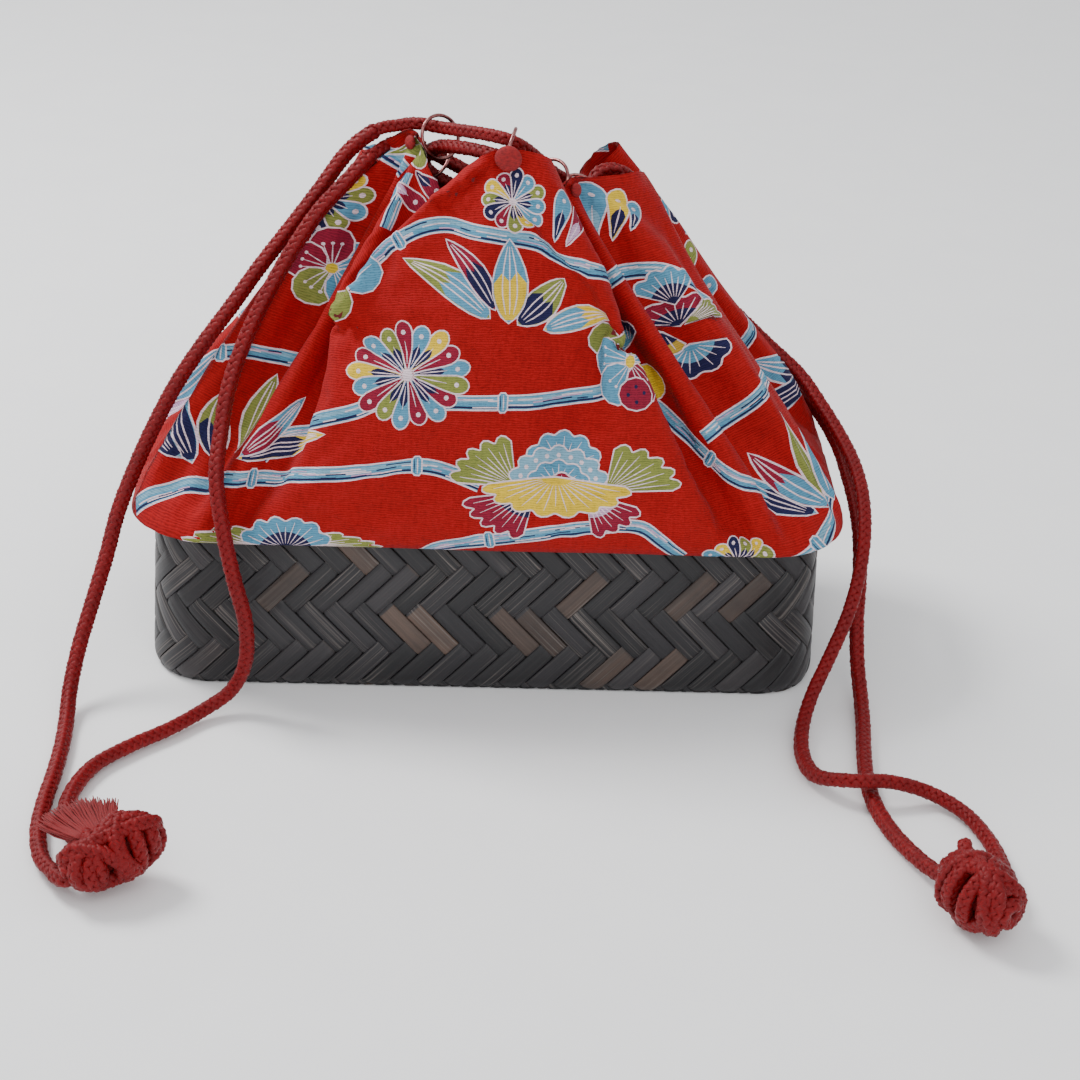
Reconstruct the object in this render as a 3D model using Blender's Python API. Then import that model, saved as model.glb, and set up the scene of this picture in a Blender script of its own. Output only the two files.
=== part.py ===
"""Kinchaku: a drawstring pouch of printed crepe on a woven bamboo basket.
Metres, +Z up. Origin: centre of the basket's base, on the floor."""
import math
import bpy
import bmesh
import numpy as np
from mathutils import Vector

for _o in list(bpy.data.objects):
    bpy.data.objects.remove(_o, do_unlink=True)

# ---------------------------------------------------------------- dimensions
BASKET_W, BASKET_D, BASKET_H = 0.2280, 0.0950, 0.0660   # at the base, height
BASKET_TOP_W, BASKET_TOP_D = 0.2235, 0.0915             # walls lean in a little
CORNER_R = 0.0200
WALL = 0.0030
HOOP_T, HOOP_Z0, HOOP_Z1 = 0.0024, 0.0565, 0.0682
CLOTH_T, LINING_T, GAP, LINING_GAP = 0.0012, 0.0008, 0.0004, 0.0013
CORD_D = 0.0056
JOIN = 0.0007               # half the gap where a strand meets its run
RUN_D = 0.0050             # pinched a little where the rings hold it
RING_IN_R, RING_WIRE_R = 0.0064, 0.0006
N_ROUND = 96

# cloth peaks at the mouth: share of the way round the rim (0 = front middle,
# going towards +X), then where the ring is sewn on
PEAKS = [
    (0.000, (0.0019, -0.0275, 0.1816)),
    (0.145, (0.0243, -0.0060, 0.1662)),
    (0.262, (0.0344, 0.0120, 0.1567)),
    (0.380, (0.0260, 0.0240, 0.1542)),
    (0.500, (0.0108, 0.0280, 0.1572)),
    (0.620, (-0.0095, 0.0260, 0.1559)),
    (0.738, (-0.0314, 0.0200, 0.1649)),
    (0.855, (-0.0289, 0.0020, 0.1779)),
]
MOUTH_C = Vector((0.0016, 0.0050, 0.0))
HEM_RISE = 0.0045          # hem stands this far above the rings
VALLEY_DROP, VALLEY_IN = 0.0105, 0.0020

# free strands of the drawstrings, from the mouth to the knots
STRAND_LEFT_A = [
    (-0.0410, 0.0094, 0.1784), (-0.0500, 0.0066, 0.1716), (-0.0590, 0.0010, 0.1601),
    (-0.0682, -0.0029, 0.1483), (-0.0777, -0.0085, 0.1368), (-0.0867, -0.0138, 0.1248),
    (-0.0960, -0.0186, 0.1128), (-0.1046, -0.0224, 0.1000), (-0.1119, -0.0257, 0.0862),
    (-0.1184, -0.0293, 0.0720), (-0.1240, -0.0336, 0.0575), (-0.1278, -0.0386, 0.0433),
    (-0.1319, -0.0460, 0.0301), (-0.1356, -0.0550, 0.0180), (-0.1376, -0.0650, 0.0080),
    (-0.1372, -0.0780, 0.0034), (-0.1365, -0.0926, 0.0031), (-0.1366, -0.1085, 0.0030),
    (-0.1372, -0.1243, 0.0030), (-0.1367, -0.1401, 0.0030), (-0.1333, -0.1550, 0.0034),
    (-0.1272, -0.1655, 0.0052),
]
STRAND_LEFT_B = [
    (-0.0421, 0.0046, 0.1714), (-0.0500, -0.0030, 0.1648), (-0.0589, -0.0062, 0.1553),
    (-0.0673, -0.0116, 0.1434), (-0.0748, -0.0174, 0.1308), (-0.0813, -0.0234, 0.1178),
    (-0.0864, -0.0314, 0.1041), (-0.0886, -0.0398, 0.0912), (-0.0894, -0.0500, 0.0792),
    (-0.0866, -0.0588, 0.0645), (-0.0830, -0.0638, 0.0498), (-0.0794, -0.0655, 0.0348),
    (-0.0795, -0.0658, 0.0201), (-0.0843, -0.0655, 0.0088), (-0.0930, -0.0706, 0.0040),
    (-0.1031, -0.0812, 0.0031), (-0.1147, -0.0918, 0.0030), (-0.1246, -0.1036, 0.0030),
    (-0.1294, -0.1182, 0.0030), (-0.1296, -0.1338, 0.0034), (-0.1250, -0.1468, 0.0062),
]
STRAND_RIGHT_A = [
    (0.0405, 0.0236, 0.1622), (0.0490, 0.0300, 0.1532), (0.0548, 0.0372, 0.1372),
    (0.0645, 0.0436, 0.1250), (0.0762, 0.0466, 0.1130), (0.0879, 0.0474, 0.1015),
    (0.0999, 0.0458, 0.0908), (0.1115, 0.0404, 0.0818), (0.1189, 0.0290, 0.0745),
    (0.1241, 0.0150, 0.0695), (0.1271, -0.0003, 0.0662), (0.1281, -0.0157, 0.0626),
    (0.1276, -0.0297, 0.0560), (0.1257, -0.0395, 0.0456), (0.1221, -0.0462, 0.0325),
    (0.1161, -0.0535, 0.0200), (0.1097, -0.0625, 0.0095), (0.1055, -0.0751, 0.0042),
    (0.1040, -0.0901, 0.0034), (0.1064, -0.1040, 0.0052), (0.1155, -0.1122, 0.0090),
    (0.1290, -0.1118, 0.0086), (0.1422, -0.1117, 0.0046), (0.1520, -0.1206, 0.0031),
    (0.1568, -0.1350, 0.0031), (0.1580, -0.1495, 0.0040), (0.1568, -0.1615, 0.0062),
]
STRAND_RIGHT_B = [
    (0.0392, 0.0268, 0.1538), (0.0442, 0.0366, 0.1441), (0.0490, 0.0420, 0.1328),
    (0.0600, 0.0478, 0.1195), (0.0725, 0.0506, 0.1075), (0.0850, 0.0515, 0.0962),
    (0.0972, 0.0504, 0.0856), (0.1092, 0.0460, 0.0762), (0.1192, 0.0358, 0.0692),
    (0.1247, 0.0212, 0.0632), (0.1263, 0.0057, 0.0596), (0.1273, -0.0096, 0.0556),
    (0.1277, -0.0225, 0.0490), (0.1276, -0.0308, 0.0380), (0.1274, -0.0356, 0.0245),
    (0.1278, -0.0430, 0.0120), (0.1280, -0.0550, 0.0050), (0.1268, -0.0701, 0.0031),
    (0.1248, -0.0857, 0.0030), (0.1234, -0.1016, 0.0030), (0.1239, -0.1174, 0.0030),
    (0.1273, -0.1328, 0.0031), (0.1330, -0.1490, 0.0046), (0.1378, -0.1600, 0.0068),
]
# how each drawstring gets from its strands to the rings, over the hem
LEFT_IN = [(-0.0335, 0.0105, 0.1801), (-0.0272, 0.0078, 0.1818)]
LEFT_OUT = [(-0.0284, 0.0156, 0.1706), (-0.0346, 0.0120, 0.1737)]
RIGHT_IN = [(0.0338, 0.0205, 0.1626), (0.0302, 0.0160, 0.1575)]
RIGHT_OUT = [(0.0256, 0.0196, 0.1536), (0.0332, 0.0204, 0.1566)]

KNOT_LEFT = dict(c=(-0.1108, -0.1640, 0.0131), axis=(16.0, 9.0, 5.0), half_len=0.0185, r=0.0112)
KNOT_RIGHT = dict(c=(0.1452, -0.1765, 0.0134), axis=(9.0, -12.0, 0.5), half_len=0.0165, r=0.0124)


# ------------------------------------------------------------------- helpers
def rrect(s, w, d, r):
    """Point and outward normal on a rounded rectangle; s=0 is the front middle."""
    a, b, q = w - 2 * r, d - 2 * r, math.pi * r / 2
    t = (s % 1.0) * (2 * a + 2 * b + 4 * q)
    parts = [("f", a / 2), ("c0", q), ("r", b), ("c1", q), ("b", a), ("c2", q), ("l", b), ("c3", q), ("e", a)]
    for key, length in parts:
        if t <= length:
            break
        t -= length
    if key == "f":
        return (t, -d / 2), (0.0, -1.0)
    if key == "r":
        return (w / 2, -d / 2 + r + t), (1.0, 0.0)
    if key == "b":
        return (w / 2 - r - t, d / 2), (0.0, 1.0)
    if key == "l":
        return (-w / 2, d / 2 - r - t), (-1.0, 0.0)
    if key == "e":
        return (-a / 2 + t, -d / 2), (0.0, -1.0)
    k = int(key[1])
    th = -math.pi / 2 + k * math.pi / 2 + t / r
    cx = (w / 2 - r) * (1, 1, -1, -1)[k]
    cy = (d / 2 - r) * (-1, 1, 1, -1)[k]
    return (cx + r * math.cos(th), cy + r * math.sin(th)), (math.cos(th), math.sin(th))


def rect_loop(w, d, r, z, inset=0.0, n=N_ROUND):
    out = []
    for i in range(n):
        (x, y), (nx, ny) = rrect(i / n, w, d, r)
        out.append((x - nx * inset, y - ny * inset, z))
    return out


def catmull(points, closed=False, per=12):
    """Smooth curve through points (centripetal knots would change little here)."""
    p = [Vector(q) for q in points]
    n = len(p)
    out = []
    for i in range(n if closed else n - 1):
        a = p[(i - 1) % n] if closed or i > 0 else p[0] * 2 - p[1]
        b, c = p[i], p[(i + 1) % n]
        d = p[(i + 2) % n] if closed or i + 2 < n else p[-1] * 2 - p[-2]
        for k in range(per):
            t = k / per
            out.append(0.5 * ((2 * b) + (c - a) * t + (2 * a - 5 * b + 4 * c - d) * t * t
                              + (3 * b - 3 * c + d - a) * t ** 3))
    if not closed:
        out.append(p[-1])
    return out


def resample(points, step):
    seg = [0.0]
    for a, b in zip(points[:-1], points[1:]):
        seg.append(seg[-1] + (b - a).length)
    n = max(2, int(round(seg[-1] / step)))
    out, j = [], 0
    for k in range(n + 1):
        t = seg[-1] * k / n
        while j < len(seg) - 2 and seg[j + 1] < t:
            j += 1
        u = (t - seg[j]) / max(seg[j + 1] - seg[j], 1e-9)
        out.append(points[j].lerp(points[j + 1], min(max(u, 0.0), 1.0)))
    return out


def finish(name, bm, colour, rough, metal=0.0, smooth_angle=35.0):
    bmesh.ops.recalc_face_normals(bm, faces=bm.faces)
    me = bpy.data.meshes.new(name)
    bm.to_mesh(me)
    bm.free()
    for poly in me.polygons:
        poly.use_smooth = True
    me.set_sharp_from_angle(angle=math.radians(smooth_angle))
    ob = bpy.data.objects.new(name, me)
    bpy.context.scene.collection.objects.link(ob)
    dress(ob, name, colour, rough, metal)
    return ob


def dress(ob, name, colour, rough, metal=0.0):
    mat = bpy.data.materials.new(name)
    mat.use_nodes = True
    b = mat.node_tree.nodes["Principled BSDF"]
    b.inputs["Base Color"].default_value = (*colour, 1.0)
    b.inputs["Roughness"].default_value = rough
    b.inputs["Metallic"].default_value = metal
    ob.data.materials.append(mat)


def loft(loops, ring=False, cap=True):
    """Closed body from loops of equal count; ring=True joins last to first."""
    bm = bmesh.new()
    rows = [[bm.verts.new(p) for p in lp] for lp in loops]
    n = len(rows[0])
    pairs = list(zip(rows[:-1], rows[1:]))
    if ring:
        pairs.append((rows[-1], rows[0]))
    for a, b in pairs:
        for i in range(n):
            bm.faces.new((a[i], a[(i + 1) % n], b[(i + 1) % n], b[i]))
    if cap and not ring:
        bm.faces.new(list(reversed(rows[0])))
        bm.faces.new(rows[-1])
    return bm


# -------------------------------------------------------------------- basket
def basket():
    w0, d0, w1, d1 = BASKET_W, BASKET_D, BASKET_TOP_W, BASKET_TOP_D

    def at(z):
        f = z / BASKET_H
        return w0 + (w1 - w0) * f, d0 + (d1 - d0) * f

    loops = [rect_loop(w0, d0, CORNER_R, 0.0, 0.0020), rect_loop(w0, d0, CORNER_R, 0.0006, 0.0006),
             rect_loop(w0, d0, CORNER_R, 0.0020, 0.0)]
    for z in (0.022, 0.044):
        loops.append(rect_loop(*at(z), CORNER_R, z))
    loops.append(rect_loop(*at(BASKET_H), CORNER_R, BASKET_H))
    loops.append(rect_loop(*at(BASKET_H), CORNER_R, BASKET_H, WALL))
    for z in (0.044, 0.022, WALL):
        loops.append(rect_loop(*at(z), CORNER_R, z, WALL))
    finish("bamboo_basket", loft(loops), (0.032, 0.030, 0.031), 0.45)


def hoop():
    w, d = BASKET_TOP_W, BASKET_TOP_D
    o, i = WALL + GAP, WALL + GAP + HOOP_T
    loops = [rect_loop(w, d, CORNER_R, HOOP_Z0, o), rect_loop(w, d, CORNER_R, HOOP_Z1, o),
             rect_loop(w, d, CORNER_R, HOOP_Z1, i), rect_loop(w, d, CORNER_R, HOOP_Z0, i)]
    finish("basket_rim", loft(loops, ring=True), (0.11, 0.065, 0.035), 0.5)


# --------------------------------------------------------------------- cloth
PEAK_CURVE = [Vector(p) for _s, p in PEAKS]


def mouth(s):
    """Hem of the cloth above share s of the rim: peaks at the rings, dips between."""
    ks = [p[0] for p in PEAKS] + [1.0]
    n = len(PEAKS)
    for k in range(n):
        if ks[k] <= s < ks[k + 1]:
            break
    t = (s - ks[k]) / (ks[k + 1] - ks[k])

    def out(v):
        r = Vector((v.x, v.y, 0)) - MOUTH_C
        return v + r.normalized() * 0.0022

    a, b, c, d = (out(PEAK_CURVE[(k + m) % n]) for m in (-1, 0, 1, 2))
    p = 0.5 * ((2 * b) + (c - a) * t + (2 * a - 5 * b + 4 * c - d) * t * t + (3 * b - 3 * c + d - a) * t ** 3)
    dip = math.sin(math.pi * t) ** 2
    r = (Vector((p.x, p.y, 0)) - MOUTH_C).normalized()
    p = p - r * (VALLEY_IN * dip)
    p.z += HEM_RISE - VALLEY_DROP * dip
    return p


#            height share, share of the way in towards the mouth, swell outward (m)
PROFILE = [(0.000, 0.000, 0.0000), (0.035, 0.004, 0.0003), (0.09, 0.042, 0.0003), (0.17, 0.110, 0.0),
           (0.28, 0.212, 0.0), (0.40, 0.328, 0.0), (0.53, 0.452, 0.0), (0.66, 0.575, 0.0),
           (0.78, 0.692, 0.0), (0.89, 0.820, 0.0), (1.00, 1.000, 0.0)]
LIP_OUT, LIP_Z = 0.0086, 0.0576


def cloth_level(t, w, swell):
    lp = []
    for i in range(N_ROUND):
        s = i / N_ROUND
        (x, y), (nx, ny) = rrect(s, BASKET_TOP_W, BASKET_TOP_D, min(0.0452, CORNER_R + 0.10 * max(0.0, t - 0.08)))
        o = LIP_OUT + swell
        b = Vector((x + nx * o, y + ny * o, LIP_Z))
        m = mouth(s)
        p = b.lerp(m, w)
        p.z = LIP_Z + (m.z - LIP_Z) * t
        lp.append(p)
    return lp


def cloth_levels():
    lv = [[Vector(p) for p in rect_loop(BASKET_TOP_W, BASKET_TOP_D, CORNER_R, 0.0606, -0.0012)],
          [Vector(p) for p in rect_loop(BASKET_TOP_W, BASKET_TOP_D, CORNER_R, 0.0582, -0.0042)]]
    lv += [cloth_level(*p) for p in PROFILE]
    return lv


def inward(levels, dist):
    """The levels moved along the surface's inward normal."""
    out = []
    n = len(levels[0])
    for j, lp in enumerate(levels):
        up = levels[min(j + 1, len(levels) - 1)]
        dn = levels[max(j - 1, 0)]
        row = []
        for i in range(n):
            du = lp[(i + 1) % n] - lp[(i - 1) % n]
            dv = up[i] - dn[i]
            nn = du.cross(dv).normalized()
            row.append(lp[i] - nn * dist)
        out.append(row)
    return out


def cloth():
    lv = cloth_levels()
    inner = inward(lv, CLOTH_T)
    finish("cloth_bag", loft(lv + inner[::-1], ring=True), (0.42, 0.012, 0.015), 0.85, smooth_angle=60)


def lining():
    lv = cloth_levels()
    use = lv[5:]                       # from just above the rim hoop to the hem
    a = inward(lv, CLOTH_T + LINING_GAP)[5:]
    b = inward(lv, CLOTH_T + LINING_GAP + LINING_T)[5:]
    # stop a little under the hem
    a[-1] = [p.lerp(q, 0.12) for p, q in zip(a[-1], a[-2])]
    b[-1] = [p.lerp(q, 0.12) for p, q in zip(b[-1], b[-2])]
    w, d = BASKET_TOP_W, BASKET_TOP_D
    o = WALL + GAP + HOOP_T + GAP
    i = o + LINING_T
    top = HOOP_Z1 + GAP
    low = [rect_loop(w, d, CORNER_R, WALL + GAP, o), rect_loop(w, d, CORNER_R, 0.030, o),
           rect_loop(w, d, CORNER_R, top - 0.0004, o), rect_loop(w, d, CORNER_R, top + 0.0012, WALL)]
    low_in = [rect_loop(w, d, CORNER_R, WALL + GAP + LINING_T, i), rect_loop(w, d, CORNER_R, 0.030, i),
              rect_loop(w, d, CORNER_R, top + 0.0006, i), rect_loop(w, d, CORNER_R, top + 0.0024, WALL)]
    loops = low + a + b[::-1] + low_in[::-1]
    finish("lining_bag", loft(loops), (0.20, 0.010, 0.014), 0.8, smooth_angle=60)


# --------------------------------------------------------------------- rings
def ring_centre(k):
    p = PEAK_CURVE[k % len(PEAKS)]
    r = (Vector((p.x, p.y, 0)) - MOUTH_C).normalized()
    c = p - r * (RING_IN_R + RING_WIRE_R + CLOTH_T + LINING_T + 3 * GAP - 0.0010)
    c.z = p.z + 0.0012
    return c, r


def ring_frame(k):
    """Centre, outward and upward directions; the ring stands square to the cords."""
    c, r = ring_centre(k)
    t = (ring_centre(k + 1)[0] - ring_centre(k - 1)[0]).normalized()
    r = (r - t * r.dot(t)).normalized()
    up = r.cross(t)
    if up.z < 0:
        up.negate()
    return c, r, up


def mouth_ring(k, n=40, m=10):
    c, r, up = ring_frame(k)
    big = RING_IN_R + RING_WIRE_R
    t = r.cross(up)
    bm = bmesh.new()
    rows = []
    for i in range(n):
        th = 2 * math.pi * i / n
        d = r * math.cos(th) + up * math.sin(th)
        rows.append([bm.verts.new(c + d * (big + RING_WIRE_R * math.cos(2 * math.pi * j / m))
                                  + t * (RING_WIRE_R * math.sin(2 * math.pi * j / m))) for j in range(m)])
    for i in range(n):
        a, b = rows[i], rows[(i + 1) % n]
        for j in range(m):
            bm.faces.new((a[j], b[j], b[(j + 1) % m], a[(j + 1) % m]))
    finish("mouth_ring_%d" % (k + 1), bm, (0.30, 0.16, 0.15), 0.3, 1.0)


# --------------------------------------------------------------------- cords
def cord_curve(name, points, step=0.0085, dia=CORD_D):
    cu = bpy.data.curves.new(name, "CURVE")
    cu.dimensions = "3D"
    cu.bevel_depth = dia / 2
    cu.bevel_resolution = 3
    cu.use_fill_caps = True
    sp = cu.splines.new("POLY")
    pts = resample(points, step)
    sp.points.add(len(pts) - 1)
    for q, p in zip(sp.points, pts):
        q.co = (*p, 1.0)
    sp.use_smooth = True
    ob = bpy.data.objects.new(name, cu)
    bpy.context.scene.collection.objects.link(ob)
    dress(ob, name, (0.40, 0.014, 0.018), 0.6)
    return ob


def trim(points, start=0.0, end=0.0):
    """Dense points with a length cut off each end."""
    pts = [Vector(p) for p in points]
    for cut, rev in ((start, False), (end, True)):
        if rev:
            pts.reverse()
        while cut > 0 and len(pts) > 2:
            seg = (pts[1] - pts[0]).length
            if seg <= cut:
                pts.pop(0)
                cut -= seg
            else:
                pts[0] = pts[0].lerp(pts[1], cut / seg)
                cut = 0
        if rev:
            pts.reverse()
    return pts


def whole_cord(strand_a, enter, order, lift, leave, strand_b, per=12):
    """One smooth line from knot to knot through the rings, cut into strand, run, strand."""
    pts = [Vector(p) for p in reversed(strand_a)] + [Vector(p) for p in enter]
    for k in order:
        c, _r, up = ring_frame(k)
        pts.append(c + up * lift)
    pts += [Vector(p) for p in leave]
    i0, i1 = len(strand_a) - 1, len(pts)
    pts += [Vector(p) for p in strand_b]
    line = catmull(pts, per=per)
    return line[:i0 * per + 1][::-1], line[i0 * per:i1 * per + 1], line[i1 * per:]


def cords():
    a, run, b = whole_cord(STRAND_LEFT_A, LEFT_IN, (7, 0, 1, 2, 3, 4, 5, 6), 0.0031, LEFT_OUT, STRAND_LEFT_B)
    cord_curve("cord_left_a", trim(a, JOIN, 0.0012))
    cord_curve("drawstring_left_run", trim(run, JOIN, JOIN), 0.005, RUN_D)
    cord_curve("cord_left_b", trim(b, JOIN))
    a, run, b = whole_cord(STRAND_RIGHT_A, RIGHT_IN, (2, 1, 0, 7, 6, 5, 4, 3), -0.0031, RIGHT_OUT, STRAND_RIGHT_B)
    cord_curve("cord_right_a", trim(a, JOIN))
    cord_curve("drawstring_right_run", trim(run, JOIN, JOIN), 0.005, RUN_D)
    cord_curve("cord_right_b", trim(b, JOIN))


# --------------------------------------------------------------------- knots
def knot(name, c, axis, half_len, r, n=40, m=20):
    """Fist-like knot: a lumpy capsule along its axis."""
    ax = Vector(axis).normalized()
    side = ax.cross(Vector((0, 0, 1))).normalized()
    up = side.cross(ax)
    c = Vector(c)
    bm = bmesh.new()
    rows = []
    for j in range(1, m):
        v = -math.pi / 2 + math.pi * j / m
        row = []
        for i in range(n):
            u = 2 * math.pi * i / n
            lump = 1.0 + 0.05 * math.sin(3 * u + 2.2 * v) + 0.04 * math.cos(5 * v + u)
            rr = r * (math.cos(v) ** 0.72) * lump
            row.append(bm.verts.new(c + ax * (half_len * math.sin(v)) + side * (rr * math.cos(u)) + up * (rr * math.sin(u))))
        rows.append(row)
    a = bm.verts.new(c - ax * half_len)
    b = bm.verts.new(c + ax * half_len)
    for i in range(n):
        bm.faces.new((a, rows[0][(i + 1) % n], rows[0][i]))
        bm.faces.new((b, rows[-1][i], rows[-1][(i + 1) % n]))
    for p, q in zip(rows[:-1], rows[1:]):
        for i in range(n):
            bm.faces.new((p[i], p[(i + 1) % n], q[(i + 1) % n], q[i]))
    finish(name, bm, (0.33, 0.013, 0.018), 0.7)


basket()
hoop()
cloth()
lining()
for _k in range(len(PEAKS)):
    mouth_ring(_k)
cords()
knot("knot_left", **KNOT_LEFT)
knot("knot_right", **KNOT_RIGHT)
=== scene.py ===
"""Looks of the kinchaku: printed crepe pouch gathered on a woven bamboo basket, with two
braided drawstrings. Metres, +Z up, in the frame of the CAD model."""
import math
import bpy
import bmesh
import numpy as np
from mathutils import Matrix, Vector
from mathutils.geometry import delaunay_2d_cdt


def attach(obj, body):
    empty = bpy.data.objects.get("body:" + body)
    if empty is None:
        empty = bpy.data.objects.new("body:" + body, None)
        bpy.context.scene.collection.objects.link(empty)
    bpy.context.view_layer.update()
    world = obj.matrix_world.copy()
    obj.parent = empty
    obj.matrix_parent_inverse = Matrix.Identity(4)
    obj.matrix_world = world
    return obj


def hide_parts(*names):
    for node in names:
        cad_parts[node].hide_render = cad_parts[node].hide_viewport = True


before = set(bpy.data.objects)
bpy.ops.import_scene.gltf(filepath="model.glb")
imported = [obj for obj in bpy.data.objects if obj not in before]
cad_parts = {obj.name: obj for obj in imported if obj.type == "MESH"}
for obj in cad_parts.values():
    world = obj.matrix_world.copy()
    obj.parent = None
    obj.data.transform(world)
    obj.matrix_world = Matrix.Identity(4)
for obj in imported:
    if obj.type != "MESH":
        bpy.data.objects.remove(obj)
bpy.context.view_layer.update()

SC = bpy.context.scene

# ---------------------------------------------------------------- dimensions
BASKET_W, BASKET_D, BASKET_H = 0.2280, 0.0950, 0.0660
BASKET_TOP_W, BASKET_TOP_D = 0.2235, 0.0915
CORNER_R = 0.0200
CORD_D, RUN_D = 0.0056, 0.0050
RING_IN_R, RING_WIRE_R = 0.0064, 0.0006
CLOTH_T, LINING_T, GAP = 0.0012, 0.0008, 0.0004
PEAKS = [
    (0.000, (0.0019, -0.0275, 0.1816)),
    (0.145, (0.0243, -0.0060, 0.1662)),
    (0.262, (0.0344, 0.0120, 0.1567)),
    (0.380, (0.0260, 0.0240, 0.1542)),
    (0.500, (0.0108, 0.0280, 0.1572)),
    (0.620, (-0.0095, 0.0260, 0.1559)),
    (0.738, (-0.0314, 0.0200, 0.1649)),
    (0.855, (-0.0289, 0.0020, 0.1779)),
]
MOUTH_C = Vector((0.0016, 0.0050, 0.0))
STRAND_LEFT_A = [
    (-0.0410, 0.0094, 0.1784), (-0.0500, 0.0066, 0.1716), (-0.0590, 0.0010, 0.1601),
    (-0.0682, -0.0029, 0.1483), (-0.0777, -0.0085, 0.1368), (-0.0867, -0.0138, 0.1248),
    (-0.0960, -0.0186, 0.1128), (-0.1046, -0.0224, 0.1000), (-0.1119, -0.0257, 0.0862),
    (-0.1184, -0.0293, 0.0720), (-0.1240, -0.0336, 0.0575), (-0.1278, -0.0386, 0.0433),
    (-0.1319, -0.0460, 0.0301), (-0.1356, -0.0550, 0.0180), (-0.1376, -0.0650, 0.0080),
    (-0.1372, -0.0780, 0.0034), (-0.1365, -0.0926, 0.0031), (-0.1366, -0.1085, 0.0030),
    (-0.1372, -0.1243, 0.0030), (-0.1367, -0.1401, 0.0030), (-0.1333, -0.1550, 0.0034),
    (-0.1272, -0.1655, 0.0052),
]
STRAND_LEFT_B = [
    (-0.0421, 0.0046, 0.1714), (-0.0500, -0.0030, 0.1648), (-0.0589, -0.0062, 0.1553),
    (-0.0673, -0.0116, 0.1434), (-0.0748, -0.0174, 0.1308), (-0.0813, -0.0234, 0.1178),
    (-0.0864, -0.0314, 0.1041), (-0.0886, -0.0398, 0.0912), (-0.0894, -0.0500, 0.0792),
    (-0.0866, -0.0588, 0.0645), (-0.0830, -0.0638, 0.0498), (-0.0794, -0.0655, 0.0348),
    (-0.0795, -0.0658, 0.0201), (-0.0843, -0.0655, 0.0088), (-0.0930, -0.0706, 0.0040),
    (-0.1031, -0.0812, 0.0031), (-0.1147, -0.0918, 0.0030), (-0.1246, -0.1036, 0.0030),
    (-0.1294, -0.1182, 0.0030), (-0.1296, -0.1338, 0.0034), (-0.1250, -0.1468, 0.0062),
]
STRAND_RIGHT_A = [
    (0.0405, 0.0236, 0.1622), (0.0490, 0.0300, 0.1532), (0.0548, 0.0372, 0.1372),
    (0.0645, 0.0436, 0.1250), (0.0762, 0.0466, 0.1130), (0.0879, 0.0474, 0.1015),
    (0.0999, 0.0458, 0.0908), (0.1115, 0.0404, 0.0818), (0.1189, 0.0290, 0.0745),
    (0.1241, 0.0150, 0.0695), (0.1271, -0.0003, 0.0662), (0.1281, -0.0157, 0.0626),
    (0.1276, -0.0297, 0.0560), (0.1257, -0.0395, 0.0456), (0.1221, -0.0462, 0.0325),
    (0.1161, -0.0535, 0.0200), (0.1097, -0.0625, 0.0095), (0.1055, -0.0751, 0.0042),
    (0.1040, -0.0901, 0.0034), (0.1064, -0.1040, 0.0052), (0.1155, -0.1122, 0.0090),
    (0.1290, -0.1118, 0.0086), (0.1422, -0.1117, 0.0046), (0.1520, -0.1206, 0.0031),
    (0.1568, -0.1350, 0.0031), (0.1580, -0.1495, 0.0040), (0.1568, -0.1615, 0.0062),
]
STRAND_RIGHT_B = [
    (0.0392, 0.0268, 0.1538), (0.0442, 0.0366, 0.1441), (0.0490, 0.0420, 0.1328),
    (0.0600, 0.0478, 0.1195), (0.0725, 0.0506, 0.1075), (0.0850, 0.0515, 0.0962),
    (0.0972, 0.0504, 0.0856), (0.1092, 0.0460, 0.0762), (0.1192, 0.0358, 0.0692),
    (0.1247, 0.0212, 0.0632), (0.1263, 0.0057, 0.0596), (0.1273, -0.0096, 0.0556),
    (0.1277, -0.0225, 0.0490), (0.1276, -0.0308, 0.0380), (0.1274, -0.0356, 0.0245),
    (0.1278, -0.0430, 0.0120), (0.1280, -0.0550, 0.0050), (0.1268, -0.0701, 0.0031),
    (0.1248, -0.0857, 0.0030), (0.1234, -0.1016, 0.0030), (0.1239, -0.1174, 0.0030),
    (0.1273, -0.1328, 0.0031), (0.1330, -0.1490, 0.0046), (0.1378, -0.1600, 0.0068),
]
LEFT_IN = [(-0.0335, 0.0105, 0.1801), (-0.0272, 0.0078, 0.1818)]
LEFT_OUT = [(-0.0284, 0.0156, 0.1706), (-0.0346, 0.0120, 0.1737)]
RIGHT_IN = [(0.0338, 0.0205, 0.1626), (0.0302, 0.0160, 0.1575)]
RIGHT_OUT = [(0.0256, 0.0196, 0.1536), (0.0332, 0.0204, 0.1566)]
KNOT_LEFT = dict(c=(-0.1108, -0.1640, 0.0131), axis=(16.0, 9.0, 5.0), half_len=0.0185, r=0.0112)
KNOT_RIGHT = dict(c=(0.1452, -0.1765, 0.0134), axis=(9.0, -12.0, 0.5), half_len=0.0165, r=0.0124)


# ------------------------------------------------------------- shared helpers
def lin(r, g, b):
    """Linear colour from 8-bit display values."""
    def f(c):
        c /= 255.0
        return c / 12.92 if c <= 0.04045 else ((c + 0.055) / 1.055) ** 2.4
    return (f(r), f(g), f(b), 1.0)


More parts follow.
